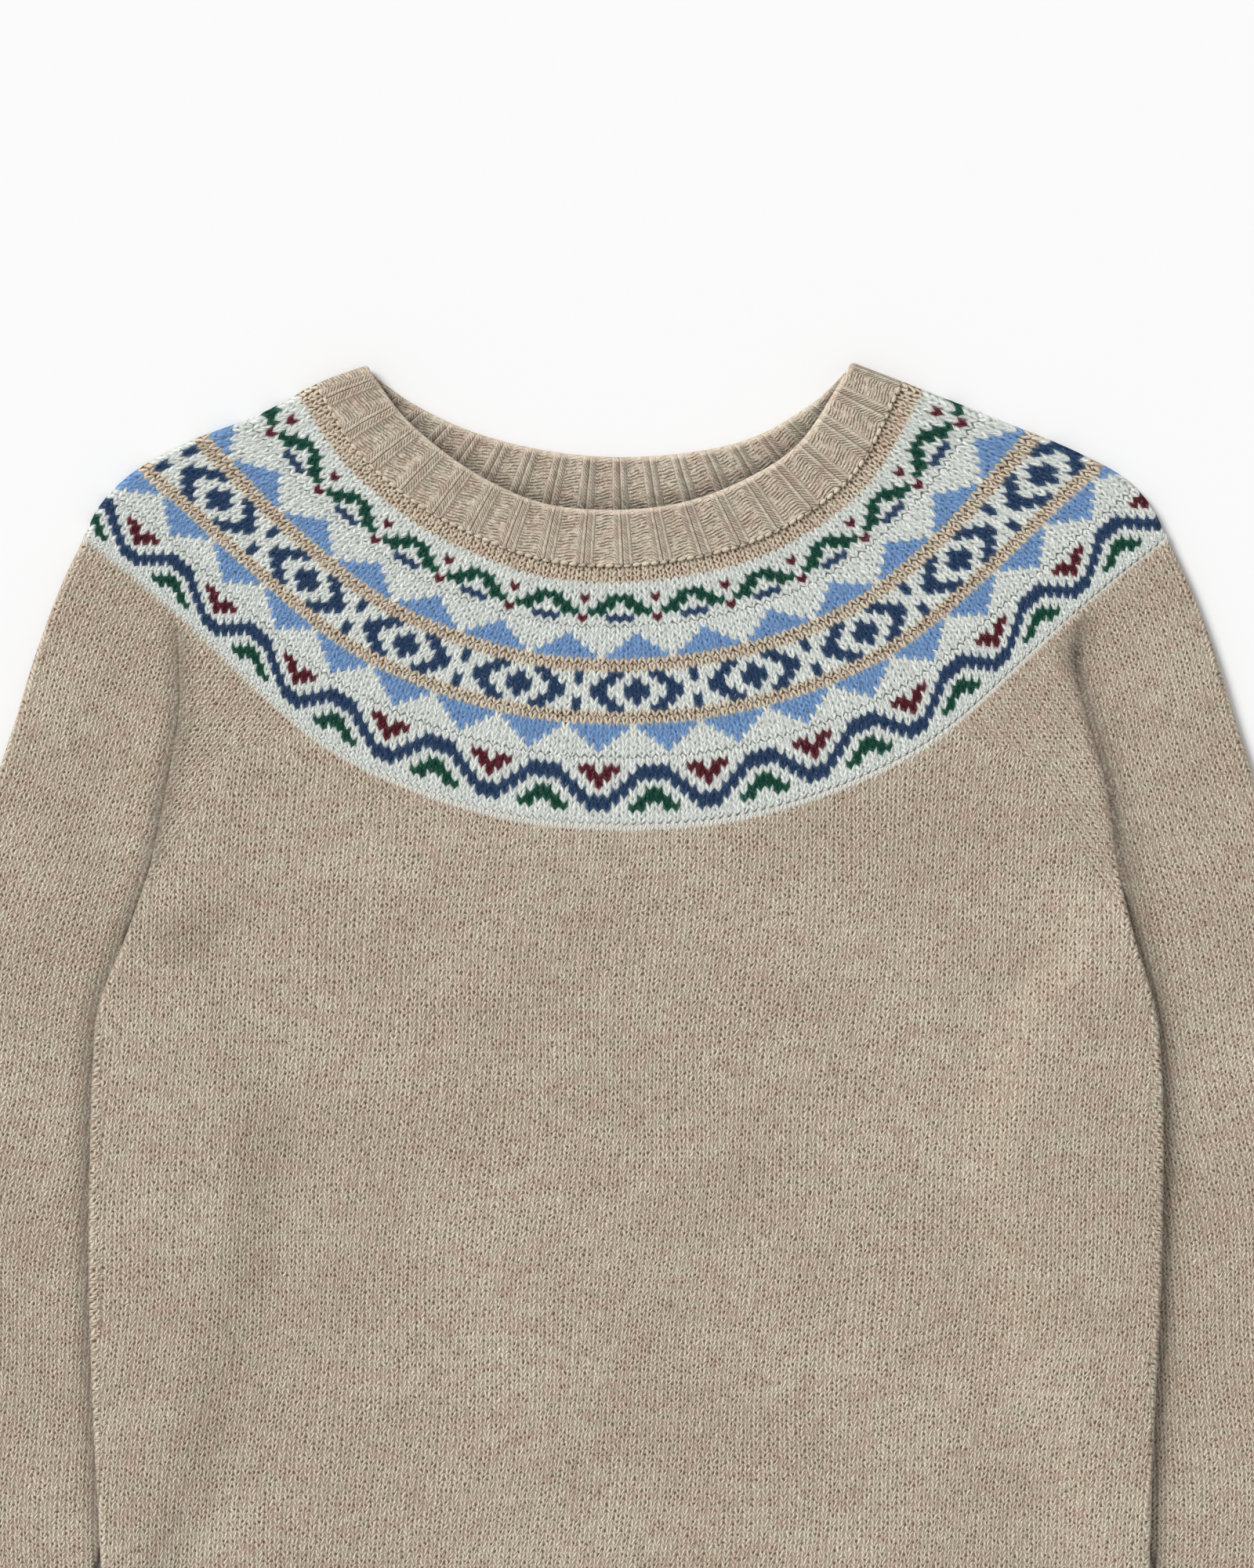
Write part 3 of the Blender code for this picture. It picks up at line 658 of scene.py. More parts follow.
def plain_wool():
    """The melange in plain knit: painted shade in the seams, clear V stitches and holes away from them."""
    made, tree, shader = wool_shader("Oatmeal wool")
    wale, course, seam = shaped_places(tree)
    stitch = use_group(tree, stockinette, {"Wale": wale, "Course": course, "Slant": 0.6})
    clear = remapped(tree, seam, 0.15, 0.5, 1.0, 0.4)
    stitch = {name: value * clear for name, value in stitch.items()}
    # Painted shade beside the armhole seam and the fold below it
    light = seam.math("MAXIMUM", 0.0) * -0.93 + 0.915
    colour, fibre = oatmeal_colour(tree, wale, course, stitch, 0.9, light)
    hair = noise(tree, grid_place(tree, wale * 3.3, course * 2.9, 31.0), 1.0, 4.0, 0.8)
    white = remapped(tree, seam, 0.0, -1.0) + hair * 0.7
    colour = mixed(tree, remapped(tree, white, 0.6, 1.3, 0.0, 0.8), colour, WHITE_FIBRES)
    finish_wool(tree, shader, colour, stitch["Relief"] + fibre * 0.3, 0.00045)
    return made


oatmeal_wool = plain_wool()
BODY_COLUMNS = np.linspace(0, 1, 150)
# Rows of faces above the underarm and below it
ROWS_ABOVE = 36
ROWS_BELOW = 120
# The creases fade in the outermost share of the width
CREASE_MARGIN = 0.03


def end_edges(plan, layer):
    """Ends a plain piece at its neighbours: the front goes under the yoke, and both layers meet the rib."""
    plan[0, :, 1] += YOKE_TUCK if layer == 1 else -SEAM / 2
    plan[-1, :, 1] -= HEM_OVERLAP


def body_panel(name, layer, level, creases):
    """A body panel from the yoke to the hem rib, with its sides turned towards the other panel."""
    edges = {}
    for side in SIDES:
        path, away, bend = seam_edge(body_side(side), side, layer, -1)
        above = np.interp(-UNDERARM_Y, -path[:, 1], shares_of(path))
        shares = np.hstack([
            np.linspace(0, above, ROWS_ABOVE, endpoint=False), np.linspace(above, 1, ROWS_BELOW)
        ])
        values = at_shares(path, shares, np.column_stack([away, bend]))
        edges[side] = at_shares(path, shares), values[:, :2], values[:, 2]
    left, right = edges[-1][0], edges[1][0]
    x = left[0, 0] + (right[0, 0] - left[0, 0]) * BODY_COLUMNS
    top = np.stack([x, yoke_edge_y(layer, x)], axis=1)
    below = straight(left[ROWS_ABOVE:], right[ROWS_ABOVE:], BODY_COLUMNS)
    upper = slice(0, ROWS_ABOVE + 1)
    rows = shares_of(left[upper])
    plan = spanned(top, below[0], left[upper], right[upper], BODY_COLUMNS, rows)
    plan = np.vstack([plan[:-1], below])
    end_edges(plan, layer)
    window = ease(0, CREASE_MARGIN, np.minimum(BODY_COLUMNS, 1 - BODY_COLUMNS))
    height = level + body_lift(plan) + creased(creases, plan) * window
    if layer == 1:
        height += crease_rim(-1, plan) + crease_rim(1, plan)
        height[0] -= YOKE_TUCK_DEPTH
    (left_turn, left_flat), (right_turn, right_flat) = (
        turned_edge(plan[:, column], direction, height[:, column], bend, layer)
        for column, (_, direction, bend) in zip((0, -1), (edges[-1], edges[1]))
    )
    middle = np.hstack([left_turn[:, ::-1], raised_to(plan, height), right_turn])
    stitches = plain_stitches(np.hstack([left_flat[:, ::-1], plan, right_flat]), layer)
    return knit_mesh(name, walled(middle, stitches, face_up=layer == 1), oatmeal_wool)


body_front = body_panel("jumper_body_front", 1, FRONT_LEVEL, FRONT_CREASES)
body_back = body_panel("jumper_body_back", 2, BACK_LEVEL, BACK_CREASES)
for piece, node, below in ((body_front, "front", "body_back"), (body_back, "back", "floor")):
    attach(piece, "root")
    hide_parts("body_" + node)


# Sleeves: each is a flat tube of the same plain knit, folded down its outer side. Its wales run along
# that fold. It is sewn to the body at the armhole and its lower part is tucked under the body.

FOLD_STEPS = 8
SLEEVE_END_Y = -270
SLEEVE_COLUMNS = np.linspace(0, 1, 44)
SLEEVE_ROWS = 180
SLEEVE_CREASE_MARGIN = 0.12
# How far from the back's the front's wales wander, and how much of it the courses do
FRONT_WANDER = 400
COURSE_WANDER = 0.7
# The two ends of the neckband: its tip, and where it meets the yoke's fold
COLLAR_TIP = {-1: (-118.1, 329.4), 1: (103.3, 330.8)}
BAND_FOOT = {-1: (-141.5, 320.8), 1: (126.7, 321.8)}
# The fold over each shoulder, from the neckband to the end of the yoke
SHOULDER = {
    -1: [(-168.1, 306.7), (-199.1, 294.8), (-224.3, 281.2), (-240.5, 265.7)],
    1: [(152.3, 311.8), (180.7, 300.6), (206.3, 289.8), (227.5, 278.6), (240.5, 265.7)],
}
# The fold down the outside of each sleeve: y, distance from the middle
SLEEVE_FOLD = [
    (225.4, 260), (194.8, 271.2), (166, 280), (142.6, 287.6), (90, 303.5), (29, 317.9),
    (-43, 329.8), (-115, 337), (-223, 341.3), (SLEEVE_END_Y, 338),
]
SLEEVE_CREASES = [
    (-248, 186, 66, 54, 12, 1.0), (-236, 150, 78, 48, 9, -0.7), (-262, 96, 74, 80, 16, 0.8),
    (-290, 10, 82, 110, 20, 0.8), (-300, -120, 88, 100, 22, 0.7), (-232, 214, 42, 30, 9, -0.5),
    (252, 186, 112, 54, 12, 1.0), (240, 146, 102, 48, 9, -0.7), (268, 90, 106, 80, 16, 0.8),
    (290, -6, 98, 110, 20, 0.8), (300, -130, 92, 100, 22, 0.7), (236, 214, 138, 30, 9, -0.5),
]


def outer_fold(side, start, end, inset):
    """Part of the fold from collar tip to cuff, pulled in to where its turn begins, and its normals."""
    yoke_end = side * YOKE_END[0], YOKE_END[1]
    sleeve = [(side * x, y) for y, x in SLEEVE_FOLD]
    knots = [COLLAR_TIP[side], BAND_FOOT[side], *SHOULDER[side], yoke_end, *sleeve]
    named = {"tip": 0, "foot": 1, "yoke end": knots.index(yoke_end), "cuff": len(knots) - 1}
    path = smooth(knots)
    away = away_from_middle(path, side)
    steps = (len(path) - 1) // (len(knots) - 1)
    wanted = slice(named[start] * steps, named[end] * steps + 1)
    path, away = path[wanted], away[wanted]
    return path - away * inset(np.linspace(0, 1, len(path)))[:, None], away


def plain_inset(shares):
    """The inset of a fold whose two layers lie closely on each other."""
    return np.full(len(shares), LAYERS / 2)


def half_turn(edge, away, top, bottom):
    """Columns round a fold, from below the top layer to above the bottom one."""
    turn = math.pi * np.arange(1, FOLD_STEPS) / FOLD_STEPS
    radius = ((top - bottom) / 2)[:, None]
    middle = ((top + bottom) / 2)[:, None]
    plan = edge[:, None] + away[:, None] * (radius * np.sin(turn))[..., None]
    return raised_to(plan, middle + radius * np.cos(turn))


def beside(path, plan):
    """How far plan points lie from a path, and how far along it."""
    length = lengths_along(path)[-1]
    close = at_shares(path, np.linspace(0, 1, int(length)))
    along = np.linspace(0, length, len(close))
    tangent = np.gradient(close, axis=0)
    tangent /= np.linalg.norm(tangent, axis=1)[:, None]
    away = plan[..., None, :] - close
    nearest = np.linalg.norm(away, axis=-1).argmin(axis=-1)
    gap = plan - close[nearest]
    across = tangent[nearest][..., 0] * gap[..., 1] - tangent[nearest][..., 1] * gap[..., 0]
    return np.abs(across), along[nearest] + (tangent[nearest] * gap).sum(axis=-1)


def sleeve_stitches(guide, plan, front):
    """Wale and course on a sleeve; the wales are counted from its outer fold, and below 0 on the back."""
    distance, along = beside(guide, plan)
    turn = math.pi * (LAYERS - KNIT) / 2
    wale = distance if front else -turn - distance
    wander = wandering(wale + FRONT_WANDER * front, along)
    places = np.stack([wale / WALE + wander, -along / COURSE + COURSE_WANDER * wander], axis=-1)
    seam = shaping(plan, 1 if front else 2)[..., :1]
    return np.concatenate([places, seam, 0 * seam - 1], axis=-1)


def sleeve(side):
    """A sleeve in one piece: back, outer fold and front, its seam at the crease and the inner fold."""
    outer_path, outer_away = outer_fold(side, "yoke end", "cuff", plain_inset)
    guide = outer_fold(side, "foot", "cuff", plain_inset)[0]
    shares = np.linspace(0, 1, SLEEVE_ROWS)
    outer = at_shares(outer_path, shares)
    layers = []
    for layer, level in ((1, FRONT_LEVEL), (2, BACK_LEVEL)):
        inner, direction, bend = seam_edge(sleeve_inside(side), side, layer, 1)
        values = at_shares(inner, shares, np.column_stack([direction, bend]))
        inner = at_shares(inner, shares)
        x = outer[0, 0] + (inner[0, 0] - outer[0, 0]) * SLEEVE_COLUMNS
        top = np.stack([x, yoke_edge_y(layer, x)], axis=1)
        top[0] = outer[0]
        bottom = straight(outer[-1:], inner[-1:], SLEEVE_COLUMNS)[0]
        plan = spanned(top, bottom, outer, inner, SLEEVE_COLUMNS, shares)
        end_edges(plan, layer)
        height = np.full(plan.shape[:2], level)
        if layer == 1:
            window = ease(0, SLEEVE_CREASE_MARGIN, np.minimum(SLEEVE_COLUMNS, 1 - SLEEVE_COLUMNS))
            height = height + creased(SLEEVE_CREASES, plan) * window + crease_rim(side, plan)
            height[0] -= YOKE_TUCK_DEPTH
        turned, flat = turned_edge(plan[:, -1], values[:, :2], height[:, -1], values[:, 2], layer)
        stitches = sleeve_stitches(guide, np.hstack([plan, flat]), layer == 1)
        layers.append((np.hstack([raised_to(plan, height), turned]), stitches))
    (front, front_places), (back, back_places) = layers
    away = at_shares(outer_path, shares, outer_away)
    fold = half_turn(front[:, 0, :2], away, front[:, 0, 2], back[:, 0, 2])
    share = (np.arange(1, FOLD_STEPS) / FOLD_STEPS)[None, :, None]
    fold_places = (1 - share) * front_places[:, :1] + share * back_places[:, :1]
    middle = np.hstack([back[:, ::-1], fold[:, ::-1], front])
    stitches = np.hstack([back_places[:, ::-1], fold_places[:, ::-1], front_places])
    if side > 0:
        middle, stitches = middle[:, ::-1], stitches[:, ::-1]
    return knit_mesh(f"jumper_sleeve_{SIDE_NAMES[side]}", walled(middle, stitches), oatmeal_wool)


for side in SIDES:
    piece = sleeve(side)
    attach(piece, "root")
    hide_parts(f"sleeve_{SIDE_NAMES[side]}")


# Hem and cuffs: two-by-two rib in the same wool, knitted on below the body and the sleeves. Pairs of
# knit wales stand up in cords, and the purl pairs between them sink. The undersides rest flat.

RIB_RISE = 0.8
RIB_WALES = 4
END_STEPS = 8
HEM_RIBS = 32
HEM_ROWS = 22
CUFF_RIBS = 6
CUFF_ROWS = 24
# Where the ribs end, and distances of their sides from the middle at the top, halfway and at the end
HEM_END_Y = -298
HEM_X = (239.6, 236.8, 237.5)
CUFF_END_Y = -329.9
CUFF_OUTER_X = (338, 334, 333)
CUFF_INNER_X = (252, 255, 255.5)
# Across one rib: wale, and height as a share of the rise
RIB_PROFILE = [
    (0.0, 0.0), (0.14, 0.5), (0.38, 1.0), (0.68, 1.0), (0.92, 0.62), (1.0, 0.5), (1.08, 0.62),
    (1.32, 1.0), (1.62, 1.0), (1.86, 0.5), (2.0, 0.0), (2.5, 0.06), (3.0, 0.0), (3.5, 0.06),
]


def rib_columns(count):
    """Wales across a ribbed stretch that starts and ends in a hollow, and the height at each."""
    wales = [rib * RIB_WALES + wale for rib in range(count) for wale, _ in RIB_PROFILE]
    heights = [height * RIB_RISE for _ in range(count) for _, height in RIB_PROFILE]
    return np.array([*wales, count * RIB_WALES]), np.array([*heights, 0.0])


def rib_group():
    """Two-by-two rib: knit wales with slanting strands beside a smooth ridge, and purl bars between, with
    painted shade in the cracks and gaps and painted light and shade across strands and bars.
    """
    group, (wale, course) = new_group("Two by two rib", ("Wale", "Course"), STITCH)
    top_row = course.math("ABSOLUTE")
    place = grid_place(group, wale, course)
    fine = noise(group, place, 1.3, 3.0, 0.65) - 0.5
    broad = noise(group, grid_place(group, course, wale, 4.0), 0.7, 2.0) - 0.5
    wale = wale + broad * 0.15
    course = course + fine * 0.5
    phase = wale.math("FLOORED_MODULO", float(RIB_WALES))
    knit = remapped(group, phase, 2.1, 1.9) * remapped(group, phase, 0.0, 0.12)
    purl = knit * -1.0 + 1.0
    side = wale.math("FRACT")
    strand = remapped(group, side, 0.66, 0.5) * remapped(group, side, 0.0, 0.16)
    ridge = remapped(group, side, 0.52, 0.74) * remapped(group, side, 1.0, 0.88)
    slanting = side * 2.6 + course * 1.8
    strand_row = slanting.math("PINGPONG", 0.5) * 2.0
    bars = course * 1.9 - (phase - 2.0) * (broad * 0.6 + 0.55) + (phase * math.pi).math("SINE") * 0.12
    bar = bars.math("PINGPONG", 0.5) * 2.0
    row = slanting.math("FLOOR") * knit + bars.math("FLOOR") * purl
    chance = dice(group, grid_place(group, (wale * 2.0).math("FLOOR"), row))
    broken = remapped(group, noise(group, place, 0.9, 3.0, 0.7), 0.35, 0.6)
    cord = strand * (strand_row * 0.75 + 0.15) + ridge * (strand_row * 0.35 + 0.45)
    relief = cord * knit + (bar * broken * 0.8 + 0.05) * purl
    # Painted shade in the cracks beside the knit cords and in the gaps between purl bars
    crack = remapped(group, side, 0.88, 1.0).math("MAXIMUM", remapped(group, side, 0.07, 0.0))
    crack = crack * remapped(group, (phase - 1.0).math("ABSOLUTE"), 0.6, 0.2, 0.2, 0.7)
    crack = crack.math("MAXIMUM", remapped(group, strand_row, 0.55, 0.0, 0.0, 0.5) * strand)
    gaps = remapped(group, bar, 0.6, 0.05) * (chance * 0.6 + 0.45) * (broken * 0.7 + 0.3)
    # Tone that differs at random, and painted light and shade across the cords and bars
    tone = (chance - 0.5) * 0.5 + (cord - 0.55) * knit * 0.5 + (bar - 0.5) * purl * broken * 0.9
    below = remapped(group, top_row, 0.45, 1.0, 0.2, 1.0)
    hole = (crack * knit + gaps * purl) * below
    put_out(group, Relief=relief * below, Hole=hole, Tone=tone)
    return group


two_by_two = rib_group()


def rib_wool():
    """The melange in rib; courses above 0 are the inside of the neckband, a little darker with painted
    shade, and darker still with painted shade just above the front's edge.
    """
    made, tree, shader = wool_shader("Oatmeal rib")
    wale, course = stitch_places(tree)
    stitch = use_group(tree, two_by_two, {"Wale": wale, "Course": course})
    shade = stitch_places(tree, "ShadeAndShaping")[0]
    # The inside of the neckband a little darker, as painted shade
    light = remapped(tree, course, -0.2, 0.4) * -0.02 + 0.96
    colour, fibre = oatmeal_colour(tree, wale, course, stitch, 1.0, light - shade)
    finish_wool(tree, shader, colour, stitch["Relief"] + fibre * 0.3, 0.0010)
    return made


oatmeal_rib = rib_wool()


def rounded_end(middle, rise, ring, face_up):
    """Rows round the free end of a wall, from its outer face to its inner one."""
    outward = normals(middle, ring)[-1] * (1 if face_up else -1)
    along = middle[-1] - middle[-2]
    along /= np.linalg.norm(along, axis=1)[:, None]
    rows = []
    for turn in np.linspace(0, math.pi, END_STEPS + 1):
        out = KNIT / 2 + (rise if turn < math.pi / 2 else 0)
        lift = np.reshape(out * math.cos(turn), (-1, 1))
        rows.append(middle[-1] + along * KNIT / 2 * math.sin(turn) + outward * lift)
    return np.array(rows)


def stitch_grid(wale, course, *others):
    """Wale, course and any other values as a grid of places."""
    return np.stack(np.broadcast_arrays(wale, course, *others), axis=-1)


def ribbed(name, middle, stitches, rise, ring, face_up):
    """A ribbed wall whose free edge is rounded, which takes the place of the flat rim there."""
    patches = walled(middle, stitches, rise, ring, face_up)
    end = rounded_end(middle, np.broadcast_to(rise, middle.shape[:2])[-1], ring, face_up)
    places = np.repeat(stitches[-1:], len(end), axis=0)
    if not face_up:
        end, places = end[:, ::-1], places[:, ::-1]
    patches[3] = end, places
    if not ring:
        for column, order in ((0, 1), (-1, -1)):
            fan = np.stack([np.repeat(end[-1:, column], len(end), axis=0), end[:, column]], axis=1)
            patches.append((fan[:, ::order], np.repeat(places[:, column][:, None], 2, axis=1)))
    return knit_mesh(name, patches, oatmeal_rib)


def hem_rib(node, level, layer):
    """The rib below a body panel; the one underneath stays plain."""
    ys = np.linspace(HEM_TOP_Y - SEAM / 2, HEM_END_Y + KNIT / 2, HEM_ROWS)
    reach = QUARTER_TURN + KNIT / 2
    half = np.interp(-ys, (-HEM_TOP_Y, -(HEM_TOP_Y + HEM_END_Y) / 2, -HEM_END_Y), HEM_X) - reach
    wales, heights = rib_columns(HEM_RIBS)
    plan = straight(np.stack([-half, ys], 1), np.stack([half, ys], 1), wales / wales[-1])
    height = level + body_lift(plan)
    bend = np.ones(len(ys))
    left, right = (
        turned_edge(plan[:, column], np.tile([side, 0.0], (len(ys), 1)), height[:, column], bend, layer)[0]
        for side, column in ((-1, 0), (1, -1))
    )
    middle = np.hstack([left[:, ::-1], raised_to(plan, height), right])
    edge = np.arange(1, EDGE_STEPS + 1) / EDGE_STEPS * QUARTER_TURN * math.pi / 2 / WALE
    across = np.concatenate([-edge[::-1], wales, wales[-1] + edge])
    rise = np.pad(heights, EDGE_STEPS) if layer == 1 else 0.0
    stitches = stitch_grid(across, (ys / COURSE)[:, None])
    return ribbed(f"jumper_{node}", middle, stitches, rise, False, layer == 1)


def ring_wales(wales):
    """The wales round a tube that lies folded, with the same ones across its front and its back."""
    turn = np.arange(1, FOLD_STEPS) / FOLD_STEPS * RIB_WALES
    last = wales[-1]
    back = 2 * last + RIB_WALES - wales[::-1]
    return np.concatenate([wales, last + turn, back, back[-1] + turn, [back[-1] + RIB_WALES]])


def cuff(side):
    """A ribbed tube below a sleeve, plain where it rests."""
    wales, heights = rib_columns(CUFF_RIBS)
    ys = np.linspace(SLEEVE_END_Y - SEAM / 2, CUFF_END_Y + KNIT / 2, CUFF_ROWS)
    knots = -SLEEVE_END_Y, -(SLEEVE_END_Y + CUFF_END_Y) / 2, -CUFF_END_Y
    outer = np.stack([side * (np.interp(-ys, knots, CUFF_OUTER_X) - LAYERS / 2), ys], axis=1)
    inner = np.stack([side * (np.interp(-ys, knots, CUFF_INNER_X) + LAYERS / 2), ys], axis=1)
    plan = straight(outer, inner, wales / wales[-1])
    front, back = raised_to(plan, FRONT_LEVEL), raised_to(plan, BACK_LEVEL)
    away = np.tile([side, 0.0], (len(ys), 1))
    outer_turn = half_turn(outer, away, front[:, 0, 2], back[:, 0, 2])
    inner_turn = half_turn(inner, -away, front[:, 0, 2], back[:, 0, 2])
    middle = np.hstack([front, inner_turn, back[:, ::-1], outer_turn[:, ::-1], front[:, :1]])
    stitches = stitch_grid(ring_wales(wales), (ys / COURSE)[:, None])
    rise = np.pad(heights, (0, middle.shape[1] - len(heights)))
    return ribbed(f"jumper_cuff_{SIDE_NAMES[side]}", middle, stitches, rise, True, side < 0)


HEM_CUT = (0.480, 0.056)
CUFF_CUT = (0.172, 0.060)
pieces = [
    (hem_rib("hem_rib_front", FRONT_LEVEL, 1), HEM_CUT, 0.0262, "hem_rib_back"),
    (hem_rib("hem_rib_back", BACK_LEVEL, 2), HEM_CUT, 0.0262, "floor"),
    (cuff(-1), CUFF_CUT, 0.0100, "floor"),
    (cuff(1), CUFF_CUT, 0.0100, "floor"),
]
for piece, cut, area, below in pieces:
    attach(piece, "root")
    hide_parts(piece.name.replace("jumper_", ""))


# Yoke: knitted in the round from the chest up to the neckband, in seven colours of wool. Fewer stitches
# are left after each band of the pattern. Each stitch is a V of two legs that stands up from the cloth.

# Thickness of the neckband, the heights of its halves' middles, and how far the yoke rises to meet it,
# over which share of its depth
BAND = 3.6
BAND_FRONT_LEVEL = BAND + RIB_RISE + SEAM + BAND / 2
BAND_BACK_LEVEL = BAND / 2
YOKE_RISE = BAND_FRONT_LEVEL - BAND / 2 + KNIT / 2 - FRONT_LEVEL
YOKE_RISE_REACH = 0.3
# The grid on which the yoke's surface is worked out, before it is divided into stitches
YOKE_TABLE_ROWS = np.linspace(0.0013, 0.9987, 61)
YOKE_FRONT_COLUMNS = 241
YOKE_BACK_COLUMNS = 201
# The neckband's lower edge, between the folds at its two ends
FRONT_NECK_FOOT = [
    (-123, 290), (-98, 267.5), (-71.3, 252.4), (-40, 240.6), (-7.6, 237.2),
    (27, 240.3), (58, 248.3), (86, 263.3), (108, 284),
]
BACK_NECK_FOOT = [
    (-118, 296), (-86, 275), (-47, 264), (-7.6, 260.3), (34, 262), (70, 271), (102, 292),
]

YARNS = {
    "o": linear(198, 182, 156),
    "w": linear(208, 212, 206),
    "g": linear(0, 57, 43),
    "n": linear(30, 53, 84),
    "b": linear(106, 140, 184),
    "r": linear(70, 8, 20),
    "t": linear(198, 182, 156),
}
# Bands from the neck down: stitches round, stitch width at the middle of the front, x of the chart's
# first stitch, share of the depth where it is measured, and rows: y of the foot, and one repeat
YOKE_BANDS = [
    (176, 4.21, -19.3, 0.20, [
        (234.7, "o"), (232.2, "o"), (229.7, "o"), (226.8, "w"), (223.9, "w"), (220.9, "rwwgggww"),
        (217.8, "wwggwggw"), (214.7, "wggwwwgg"), (211.7, "rwwnnnww"), (208.8, "w"),
    ]),
    (208, 4.03, 5.3, 0.38, [
        (205.9, "w"), (203.1, "bwwwwwww"), (200.2, "bbwwwwwb"), (197.4, "bbbwwwbb"),
        (194.6, "bbbbwbbb"), (191.6, "t"),
    ]),
    (238, 3.86, 5.2, 0.55, [
        (188.6, "t"), (185.6, "wwnnwwwnwwwnnw"), (182.5, "nwwnnwwnwwnnww"),
        (179.5, "nnwwnnwwwnnwwn"), (176.4, "nnwwnnwwwnnwwn"), (173.3, "nwwnnwwnwwnnww"),
        (170.3, "wwnnwwwnwwwnnw"), (167.4, "t"),
    ]),
    (264, 3.96, -12.2, 0.75, [
        (164.5, "t"), (161.4, "bbbbwbbb"), (158.2, "bbbwwwbb"), (155.1, "bbwwwwwb"),
        (151.9, "bwwwwwww"), (148.7, "w"),
    ]),
    (286, 3.93, -12.4, 0.90, [
        (145.4, "w"), (141.9, "wrrwwnnnnwwrr"), (138.4, "rrwwnnnnnnwwr"), (134.9, "rwwnnwwwwnnww"),
        (131.4, "wwnnwwggwwnnw"), (127.9, "nnnwwggggwwnn"), (124.4, "nnwwggwwggwwn"), (121.5, "w"),
        (118.8, "w"),
    ]),
]
# How much closer the outermost stitches of a band lie than its middle ones, where they do, and the
# points from the middle outwards at which that is worked out
YOKE_CROWDING = {286: 0.037}
CROWDING_POINTS = np.linspace(0, 1, 9)
# How much higher, in courses, a stitch's edges lie than its middle, and how high it stands
STITCH_SLANT = 0.62
STITCH_RELIEF = 0.3
# How uneven that height is from one stitch to the next, and how far down a face looks where it starts
# to flatten and where it is flat, as stitches that rest on the floor are
STITCH_UNEVEN = (0.82, 1.12)
FLAT_FACING = (-0.98, -0.7)
# The inner face is smooth and keeps one row in so many
INNER_STEP = 6
# Shares of the relief across a stitch from edge to edge, where two courses meet and halfway down one
LEG_HEIGHTS = [(0.2, 0.8, 0.6, 0.8), (0.5, 1.0, 0.65, 1.0)]
# How far the top of a band goes up under the courses above it, in courses, and its height there
BAND_TUCK = 0.62
BAND_TUCK_HEIGHT = 0.3
# The last course of a band that has another below: what is added to its height at the foot, the share
# of its own height that is left there, and the height of the edge that is turned under it
FOOT_HEIGHT = 0.38
FOOT_SHARE = 0.2
TURNED_HEIGHT = -0.3


def folded_ring(tops, bottoms, folds, columns, rows, levels):
    """Rows round a ring that lies folded: front left to right, right fold, back, left fold, closed."""
    sides = {side: at_shares(path, rows) for side, (path, _) in folds.items()}
    halves = []
    for top, bottom, shares, level in zip(tops, bottoms, columns, levels):
        top = at_shares(smooth([folds[-1][0][0], *top, folds[1][0][0]]), shares)
        plan = spanned(top, bottom, sides[-1], sides[1], shares, rows)
        halves.append(raised_to(plan, level[:, None]))
    turns = {
        side: half_turn(sides[side], at_shares(path, rows, away), *levels)
        for side, (path, away) in folds.items()
    }
    ring = np.hstack([halves[0], turns[1], halves[1][:, ::-1], turns[-1][:, ::-1]])
    return np.hstack([ring, ring[:, :1]])


def yoke_rise(shares):
    """How far the front of the yoke rises towards the neckband, at shares of its depth."""
    return YOKE_RISE * (1 - ease(0, YOKE_RISE_REACH, shares))


def yoke_ring():
    """The surface through the middle of the yoke's cloth, from neckband to chest."""
    rows = YOKE_TABLE_ROWS
    levels = FRONT_LEVEL + yoke_rise(rows), np.full(len(rows), BACK_LEVEL)
    folds = {
        side: outer_fold(side, "foot", "yoke end", lambda shares: (LAYERS + yoke_rise(shares)) / 2)
        for side in SIDES
    }
    bottoms = []
    for layer, count in ((1, YOKE_FRONT_COLUMNS), (2, YOKE_BACK_COLUMNS)):
        x = np.linspace(folds[-1][0][-1, 0], folds[1][0][-1, 0], count)
        y = yoke_edge_y(layer, x)
        y[0], y[-1] = folds[-1][0][-1, 1], folds[1][0][-1, 1]
        bottoms.append(np.stack([x, y], axis=1))
    columns = [shares_of(bottom) for bottom in bottoms]
    tops = FRONT_NECK_FOOT, BACK_NECK_FOOT
    return folded_ring(tops, bottoms, folds, columns, rows, levels)


def ring_lengths(ring):
    """For each row of the ring: lengths along it, that of the front's middle, and from there to the folds."""
    front = YOKE_FRONT_COLUMNS
    turn = FOLD_STEPS // 2
    found = []
    for row in ring[..., :3]:
        along = lengths_along(row)
        middle = np.interp(0, row[:front, 0], along[:front])
        right = along[front - 1 + turn] - middle
        left = along[-1] - along[-1 - turn] + middle
        found.append((along, middle, right, left))
    return found


